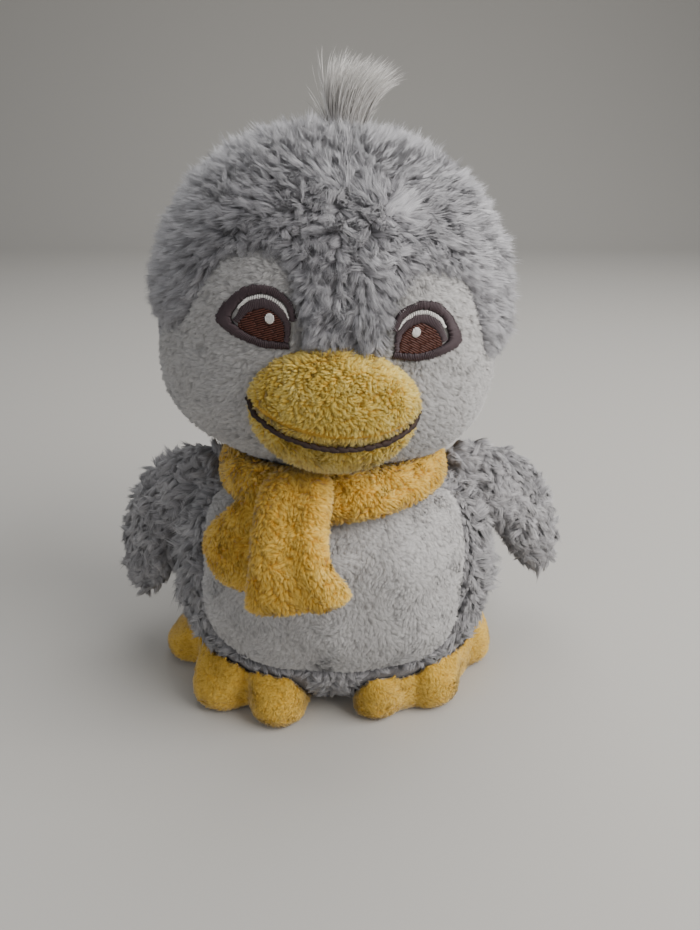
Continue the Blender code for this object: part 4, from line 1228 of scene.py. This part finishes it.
def tuft():
    """Loose long hairs sewn into the crown seam, standing up and falling over to one side."""
    rng = np.random.default_rng(12)
    count = int(TUFT_HAIRS * (1))
    segments = 9
    root = head_point(np.array(0.0), np.array(90.0))
    spin = rng.uniform(0, 2 * math.pi, count)
    out = np.sqrt(rng.uniform(0, 1, count))
    place = np.stack([np.cos(spin) * out * TUFT_PATCH[0] - 1.6, np.sin(spin) * out * TUFT_PATCH[1],
                      np.zeros(count)], axis=1)
    locks = rng.normal(size=(14, 3)) * np.array([0.08, 0.12, 0.05])
    lock = rng.integers(0, 14, count)
    wild = rng.uniform(size=count) < 0.12
    spread_out = place / 6.6 * np.array([0.34, 0.3, 0.0]) + locks[lock] + rng.normal(size=(count, 3)) * 0.06
    stray = rng.normal(size=(wild.sum(), 3)) * np.array([0.34, 0.25, 0.05])
    spread_out[wild] += stray + np.array([-0.25, 0, 0])
    long = TUFT_LENGTH * np.clip(rng.normal(0.93, 0.1, count), 0.6, 1.12)
    long[wild] *= rng.uniform(0.45, 0.95, wild.sum())
    fall = np.clip(rng.normal(0.86, 0.2, count), 0.2, 1.4)
    rows = [root + place]
    spot = root + place
    for k in range(segments):
        s = (k + 0.5) / segments
        lean = 0.02 + fall * 1.05 * s**2
        way = np.stack([np.sin(lean), np.zeros(count), np.cos(lean)], axis=1) + spread_out * (0.5 + s)
        way = unit(way)
        spot = spot + way * (long / segments)[:, None]
        rows.append(spot)
    path = np.stack(rows)
    run = path[-1] - path[0]
    sideways = unit(np.cross(run, rng.normal(size=(count, 3)) * 0.5 + np.array([0, -1.0, 0])))
    verts = []
    half = 0.17
    for k in range(segments):
        w = half * (1 - (k / segments) ** 2 * 0.8)
        verts += [path[k] + sideways * w, path[k] - sideways * w]
    verts.append(path[segments])
    verts = on_head(np.stack(verts, axis=1))
    per = verts.shape[1]
    tris = []
    for k in range(segments - 1):
        a = 2 * k
        tris += [(a, a + 1, a + 3), (a, a + 3, a + 2)]
    tris.append((2 * segments - 2, 2 * segments - 1, 2 * segments))
    tris = np.array(tris)
    f = (tris[None] + (np.arange(count) * per)[:, None, None]).reshape(-1, 3)
    column = rng.integers(6, SHADES - 6, count)
    left = np.array([0, 1] * segments + [0.5])
    height = np.repeat(np.linspace(0, 1, segments + 1), 2)[:per]
    u = (column[:, None] + 0.1 + 0.8 * left[None]) / SHADES
    uv = np.stack([u.ravel(), np.tile(0.02 + 0.96 * height, (count, 1)).ravel()], axis=1)[f.ravel()]
    piece = new_piece("tuft_hairs", verts.reshape(-1, 3), f, TUFT_HAIR, "head", uv)
    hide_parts("hair_tuft")


# ---- Wings -----------------------------------------------------------------------------------

WING_LENGTH, WING_HALF_WIDTH, WING_HALF_THICK, WING_STAND = 77.0, 14.0, 6.5, 12.5
SHOULDER = (48.0, 0.0, 88.0)
WING_TUCK, TUCK_REACH = 13.0, 46.0
WINGS = {"left": (-1, 23.0, 2.0, 50.0), "right": (1, 33.0, 12.0, 46.0)}   # side, out, back, twist


def wing_frame(side, out, back, twist):
    along = Vector((side * math.sin(math.radians(out)), math.sin(math.radians(back)),
                    -math.cos(math.radians(out)))).normalized()
    outward = Vector((side, 0, 0))
    face = (outward - along * outward.dot(along)).normalized()
    face = Matrix.Rotation(math.radians(side * twist), 3, Vector((0, 0, -1))) @ face
    face = (face - along * face.dot(along)).normalized()
    across = face.cross(along)
    turn = Matrix((along, across, face)).transposed().to_4x4()
    shoulder = Vector((side * SHOULDER[0], SHOULDER[1], SHOULDER[2]))
    root = shoulder - along * 9.0 + Vector((side * WING_STAND, 0, 0))
    return Matrix.Translation(root) @ turn


def bent_in(points, along, side):
    """The wing's root is drawn in to the shoulder that it is sewn to."""
    share = np.clip(along / TUCK_REACH, 0, 1)
    return points - np.array([side * WING_TUCK, 0, 0]) * ((1 - share) ** 1.8)[:, None]


def wings():
    for word, (side, out, back, twist) in WINGS.items():
        place = wing_frame(side, out, back, twist)
        a = np.linspace(0, 2 * math.pi, 96, endpoint=False)
        along = 0.5 - 0.5 * np.cos(a)
        width = WING_HALF_WIDTH * (0.97 + 0.2 * np.sin(math.pi * along)) * np.sqrt(1 - (2 * along - 1) ** 4)
        bow = side * 5.0 * np.sin(math.pi * along)
        flat = np.stack([WING_LENGTH * along, width * np.sign(np.sin(a)) + bow, np.zeros(len(a))], axis=1)
        flat[0, 1] = flat[48, 1] = 0
        middle = flat.mean(0)
        rings = []
        shares = np.sin(np.linspace(0, 1, 15) * math.pi / 2)
        half = WING_HALF_THICK - 0.6
        dome = half * np.sqrt(np.maximum(0, 1 - shares**2.4))
        lift = np.array([0, 0, 1.0])
        for share, up in zip(shares[1:], dome[1:]):
            rings.append(middle + (flat - middle) * share * 0.985 + lift * up)
        rings = [np.array([middle + lift * half])] + rings
        low = [ring * np.array([1, 1, -1.0]) for ring in rings[:-1]][::-1]
        rings = [bent_in(moved(place, r), r[:, 0], side) for r in rings + low]
        made = loft(f"wing_{word}_pad", rings, GREY_CLOTH, None)
        puff(made, 3.0, 3.0, 3.0)
        stand_for(made, 0.6, f"wing_{word}_outer", f"wing_{word}_outer", f"wing_{word}_inner",
                  f"wing_{word}_filling")
        surface = emitter_of(made)
        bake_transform(made)
        turn = np.array(place)[:3, :3]
        axis, face = turn[:, 0], turn[:, 2]

        def flow(roots, norms):
            return axis[None] + drift(roots, 17.0, 131) * 0.55

        local = (surface[2] @ face)
        length_of = nearest_value(surface[0], np.where(local > -0.25, 5.0, 4.2))
        hairs = pile(f"wing_{word}_pile", surface, WING_PILE, None, flow, length_of, 8.4, 2.0, width=0.46,
                     lift=44, droop=42, curl=0.9, curl_scale=8, pull=0.24, messy=0.42, segments=2,
                     seed=141 + side, mottle=0.3)
        for piece in hairs:
            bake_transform(piece)


def nearest_value(points, values):
    """A function that gives each root the value of the skin's nearest point."""
    return lambda roots: values[nearest(points, roots)]


# ---- Feet ------------------------------------------------------------------------------------

FEET = {"left": (-1, 0.0, 0.0), "right": (1, -3.0, -6.0)}   # side, turned towards the outside, reach
FOOT_HEIGHT, FOOT_GAP, WEB, FOOT_RISE = 12.5, 0.8, 3.5, 19.0
FOOT_FROM, FOOT_TO = 13.0, 94.0
TOES = [(25.0, 51.0, 11.3), (51.0, 58.0, 12.3), (82.0, 64.0, 10.8)]


def foot_edge(azimuth, more):
    reach = torso_radius(azimuth, FOOT_HEIGHT) + FOOT_GAP
    ends = np.minimum(azimuth - FOOT_FROM, FOOT_TO - azimuth)
    reach = reach + WEB * np.clip(ends / 6, 0, 1) + 0.6
    for toward, distance, radius in TOES:
        off = np.radians(azimuth - toward)
        aside = (distance + more) * np.sin(off)
        room = np.sqrt(np.maximum(0, radius**2 - aside**2))
        toe = (distance + more) * np.cos(off) + room
        reach = np.where(np.abs(aside) < radius, np.maximum(reach, toe), reach)
    return reach


def foot_flow(roots, norms):
    out = np.stack([roots[:, 0], roots[:, 1], np.zeros(len(roots))], axis=1)
    return unit(out) + drift(roots, 12.0, 151) * 0.4


def feet():
    for word, (side, turn, more) in FEET.items():
        az = np.linspace(FOOT_FROM + 0.3, FOOT_TO - 0.3, 84)
        edge = foot_edge(az, more)
        wall = torso_radius(az, FOOT_HEIGHT) + FOOT_GAP + 0.2
        foot_in = torso_radius(az, 2.0) + FOOT_GAP + 0.6
        ends = np.clip(np.minimum(az - FOOT_FROM, FOOT_TO - az) / 5.0, 0, 1) ** 0.5
        rings = []
        for k, a in enumerate(az):
            around = np.linspace(0, 2 * math.pi, 48, endpoint=False)
            c, q = np.cos(around), np.sin(around)
            power = 2 / 2.7
            reach_mid = (edge[k] + (wall[k] + foot_in[k]) / 2) / 2
            reach_half = (edge[k] - (wall[k] + foot_in[k]) / 2) / 2 * (0.55 + 0.45 * ends[k])
            high = FOOT_HEIGHT * (0.5 + 0.5 * ends[k])
            r = reach_mid + reach_half * np.sign(c) * np.abs(c) ** power
            z = high / 2 + high / 2 * np.sign(q) * np.abs(q) ** power
            inward = np.clip((wall[k] + 15 - r) / 15, 0, 1)
            z = z + FOOT_RISE * ends[k] * inward**1.6 * np.clip(q * 1.5, 0, 1)
            against = torso_radius(a + turn, z) + 0.9
            r = np.where(c < -0.35, np.minimum(r, against), r)
            r = np.maximum(r, against)
            rings.append(polar(side * (a + turn), r, z))
        made = loft(f"foot_{word}_pad", capped(rings), FOOT_CLOTH, None)
        puff(made, 1.7, 2.0, 1.2, floor=0.0, smooth=6)
        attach(made, "foot_" + word)
        stand_for(made, 0.75, f"foot_{word}_upper", f"foot_{word}_upper", f"foot_{word}_sole")
        pile(f"foot_{word}_pile", emitter_of(made), FOOT_PILE, "foot_" + word, foot_flow,
             even(1.0), 14.0, 0.8, width=0.34, lift=30, droop=8, curl=0.1, pull=0.12,
             messy=0.5, segments=1, seed=161 + side, round_up=0.25, mottle=0.12,
             mottle_scale=8, keep=lambda r: (r[:, 2] > 0.5) * 1.0)


# ---- Scarf -----------------------------------------------------------------------------------

# The scarf's band, by azimuth: height of its middle, half its height, half its thickness.
BAND_HEIGHT = [(-180, 97.5), (-90, 97.5), (-50, 97.5), (-20, 97.2), (0, 97.0), (25, 97.6), (50, 98.0),
               (90, 97.5), (180, 97.5)]
BAND_HALF = [(-180, 6.5), (-90, 6.5), (-50, 7.4), (-20, 8.0), (0, 8.2), (25, 7.6), (50, 7.0), (90, 6.5),
             (180, 6.5)]
BAND_OUT = [(-180, 3.6), (-90, 3.4), (-50, 4.8), (-20, 6.0), (0, 6.4), (25, 6.2), (50, 4.6), (90, 3.4),
            (180, 3.6)]
BAND_IN = [(-180, -1.5), (-90, -1.5), (-50, 1.0), (0, 2.6), (50, 1.0), (90, -1.5), (180, -1.5)]


def band_flow(roots, norms):
    az = np.arctan2(roots[:, 0], -roots[:, 1])
    round_it = np.stack([np.cos(az), np.sin(az), np.zeros(len(az))], axis=1)
    return round_it * 0.4 + np.array([0, 0, -0.7]) + drift(roots, 10.0, 171) * 0.6


def scarf_band():
    rings = []
    for az in np.linspace(-180, 180, 120, endpoint=False):
        middle, half, out = (float(lookup(table, az)) for table in (BAND_HEIGHT, BAND_HALF, BAND_OUT))
        a = np.linspace(0, 2 * math.pi, 36, endpoint=False)
        c = np.sign(np.cos(a)) * np.abs(np.cos(a)) ** (2 / 2.3)
        q = np.sign(np.sin(a)) * np.abs(np.sin(a)) ** (2 / 2.3)
        crease = np.exp(-((c + 0.15 + 0.25 * math.sin(math.radians(az) * 3 + 1)) / 0.2) ** 2)
        fold = 1 + 0.08 * math.sin(math.radians(az) * 7 + 0.6) - 0.28 * crease * (q > 0)
        z = middle - c * half
        reach = torso_radius(az, 88.0) + float(lookup(BAND_IN, az)) + out * q * fold + c * 2.2
        rings.append(polar(az, reach, z))
    made = loft("scarf_band_pad", rings, SCARF_CLOTH, None, looped=True)
    puff(made, 1.9, 2.5, 1.5, smooth=4)
    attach(made, "torso")
    stand_for(made, 0.5, "scarf_band", "scarf_band")
    pile("scarf_band_pile", emitter_of(made), SCARF_PILE, "torso", band_flow, even(1.4), 11.5,
         1.0, width=0.32, lift=50, droop=16, curl=0.3, pull=0.5, messy=0.4, segments=1, seed=181,
         stretch=(0.6, 0.6, 1), round_up=0.7, mottle=0.28, mottle_scale=12,
         keep=lambda r: (torso_clear(r) > 1.2) * 1.0)


def torso_clear(points):
    az = np.degrees(np.arctan2(points[:, 0], -points[:, 1]))
    return np.hypot(points[:, 0], points[:, 1]) - torso_radius(az, np.clip(points[:, 2], 0, TORSO_TOP))


# The hanging ends, as rows of: reach, height, azimuth of the middle, half width, slant of the row.
FRONT_END = [(44.0, 104.0, -12.5, 9.6, 0), (50.5, 102.5, -12.5, 11.6, 0), (56.0, 98.8, -12.4, 12.4, 0),
             (60.2, 94.4, -12.2, 12.5, 0), (63.4, 90.2, -12, 12.6, 0), (65.8, 86.4, -11.4, 13.0, 0.2),
             (67.6, 82.6, -10.8, 13.8, 0.6), (68.8, 78.8, -9.8, 15.4, 1.2), (69.6, 75.0, -9.0, 17.0, 2.2),
             (69.8, 71.4, -8.7, 17.8, 3.2), (69.6, 69.4, -8.7, 17.0, 3.6)]
REAR_END = [(46.5, 96.0, -27, 7.5, 0), (51.5, 90.0, -31, 11.0, 0), (55.0, 83.6, -34.5, 13.6, 0),
            (57.6, 77.8, -36.5, 15.4, 0), (58.8, 73.0, -36.0, 15.9, 0), (59.4, 69.0, -34.0, 14.6, 0),
            (59.6, 65.4, -31.6, 12.0, 0), (59.4, 63.6, -30.6, 9.0, 0)]


def scarf_end(name, table, thick, hinge, nodes, seed, fold):
    table = np.array(table, float)
    t = np.linspace(0, len(table) - 1, 46)
    index = np.arange(len(table), dtype=float)
    rows = np.stack([lookup(list(zip(index, table[:, k])), t) for k in range(5)], axis=1)
    run = unit(np.gradient(rows[:, :2], axis=0))
    out = np.stack([-run[:, 1], run[:, 0]], axis=1)
    rings = []
    a = np.linspace(0, 2 * math.pi, 40, endpoint=False)
    c = np.sign(np.cos(a)) * np.abs(np.cos(a)) ** (2 / 2.6)
    q = np.sign(np.sin(a)) * np.abs(np.sin(a)) ** (2 / 2.6)
    for k, (reach, height, azimuth, half, slant) in enumerate(rows):
        end = min(1.0, (k + 0.6) / 3.0, (len(rows) - 0.4 - k) / 3.5)
        size = math.sqrt(max(0.0, 1 - (1 - end) ** 2))
        ridge = 1 + fold * np.exp(-((c - 0.55) / 0.22) ** 2) - fold * 0.9 * np.exp(-((c - 0.12) / 0.28) ** 2)
        lift = thick / 2 * q * size * np.where(q > 0, ridge, 0.8)
        turned = azimuth + np.degrees(half * (0.9 + 0.1 * size) * c / reach)
        z = height + slant * c
        follow = torso_radius(turned, np.minimum(z, 84)) - torso_radius(azimuth, np.minimum(z, 84))
        rings.append(polar(turned, reach + follow + out[k, 0] * lift, z + out[k, 1] * lift))
    made = loft(name + "_pad", capped(rings), SCARF_CLOTH, None)
    puff(made, 1.7, 2.0, 1.6, smooth=4)
    surface = emitter_of(made)
    start, end = hinge
    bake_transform(made)
    stand_for(made, 0.5, nodes[-1], *nodes)
    hairs = pile(name + "_pile", surface, SCARF_PILE, None, end_flow, even(1.35), 13.0, 1.0,
                 width=0.32, lift=42, droop=14, curl=0.2, pull=0.35, messy=0.4, segments=1, seed=seed,
                 stretch=(1, 1, 0.6), round_up=0.5, mottle=0.24, mottle_scale=12)
    for piece in hairs:
        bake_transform(piece)


def end_flow(roots, norms):
    return np.array([0.25, 0, -0.8]) + drift(roots, 11.0, 191) * 0.5


def scarf():
    scarf_band()
    scarf_end("scarf_front_end", FRONT_END, 10.5,
              ((-0.0112, -0.0515, 0.0935), (-0.0112, -0.0545, 0.0865)),
              ("scarf_knot", "scarf_front_tail"), 201, 0.22)
    scarf_end("scarf_rear_end", REAR_END, 6.0,
              ((-0.0275, -0.0405, 0.0835), (-0.0290, -0.0440, 0.0775)), ("scarf_rear_tail",), 211, 0.05)


def hide_insides():
    """The stuffing, the pellet bag and the neck's stitches are closed in: give them a plain soft finish."""
    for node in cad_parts.values():
        if not node.hide_render:
            for slot in node.material_slots:
                slot.material = STUFFING




# ---- Stage -----------------------------------------------------------------------------------

FLOOR_COLOUR = (170, 167, 162)
# Name, place, what it shines on, size and watts, colour; in metres.
LIGHTS = [("key_light", (0.8, -0.3, 0.7), (0, 0, 0.11), 0.8, 19.0, (1.0, 0.985, 0.965)),
          ("fill_light", (-0.7, -0.8, 0.55), (0, 0, 0.1), 1.2, 2.6, (0.95, 0.97, 1.0)),
          ("top_light", (0.1, 0.35, 1.1), (0, 0, 0.12), 0.9, 9.0, (1, 1, 1))]
ROOM_COLOUR, ROOM_STRENGTH = (0.86, 0.88, 0.9, 1), 0.35
CAMERA_PLACE, CAMERA_TILT, CAMERA_LENS, CAMERA_SENSOR = (0.0065, -0.255, 0.212), 64.0, 27.06, 36.0


def lamp(name, place, target, size, power, colour):
    data = bpy.data.lights.new(name, "AREA")
    data.energy = power
    data.size = size
    data.color = colour
    made = bpy.data.objects.new(name, data)
    bpy.context.scene.collection.objects.link(made)
    made.location = place
    made.rotation_euler = (Vector(target) - Vector(place)).to_track_quat("-Z", "Y").to_euler()


def stage():
    floor_finish, _, shader = blank("floor_finish", 0.85)
    shader.inputs["Base Color"].default_value = srgb(*FLOOR_COLOUR)
    span, rise, bend, count = 1.6, 1.5, 0.5, 24
    profile = [(-span, 0.0)]
    for k in range(count + 1):
        a = math.pi / 2 * k / count
        profile.append((span - bend + bend * math.sin(a), bend - bend * math.cos(a)))
    profile.append((span, rise))
    points = np.array([[(x, y, z) for x in (-3.0, 3.0)] for y, z in profile]) / MM
    faces = grid_faces(len(profile), 2)[:, ::-1]
    piece = new_piece("backdrop", points.reshape(-1, 3), faces, floor_finish, None)

    for light in LIGHTS:
        lamp(*light)
    world = bpy.data.worlds.new("soft_room")
    bpy.context.scene.world = world
    world.use_nodes = True
    world.node_tree.nodes["Background"].inputs["Color"].default_value = ROOM_COLOUR
    world.node_tree.nodes["Background"].inputs["Strength"].default_value = ROOM_STRENGTH

    camera = bpy.data.cameras.new("camera")
    camera.lens = CAMERA_LENS
    camera.sensor_width = CAMERA_SENSOR
    view = bpy.data.objects.new("camera", camera)
    view.location = CAMERA_PLACE
    view.rotation_euler = (math.radians(CAMERA_TILT), 0, 0)
    bpy.context.scene.collection.objects.link(view)
    bpy.context.scene.camera = view


head_skins()
torso_skins()
beak()
eyes()
tuft()
wings()
feet()
scarf()
hide_insides()
stage()
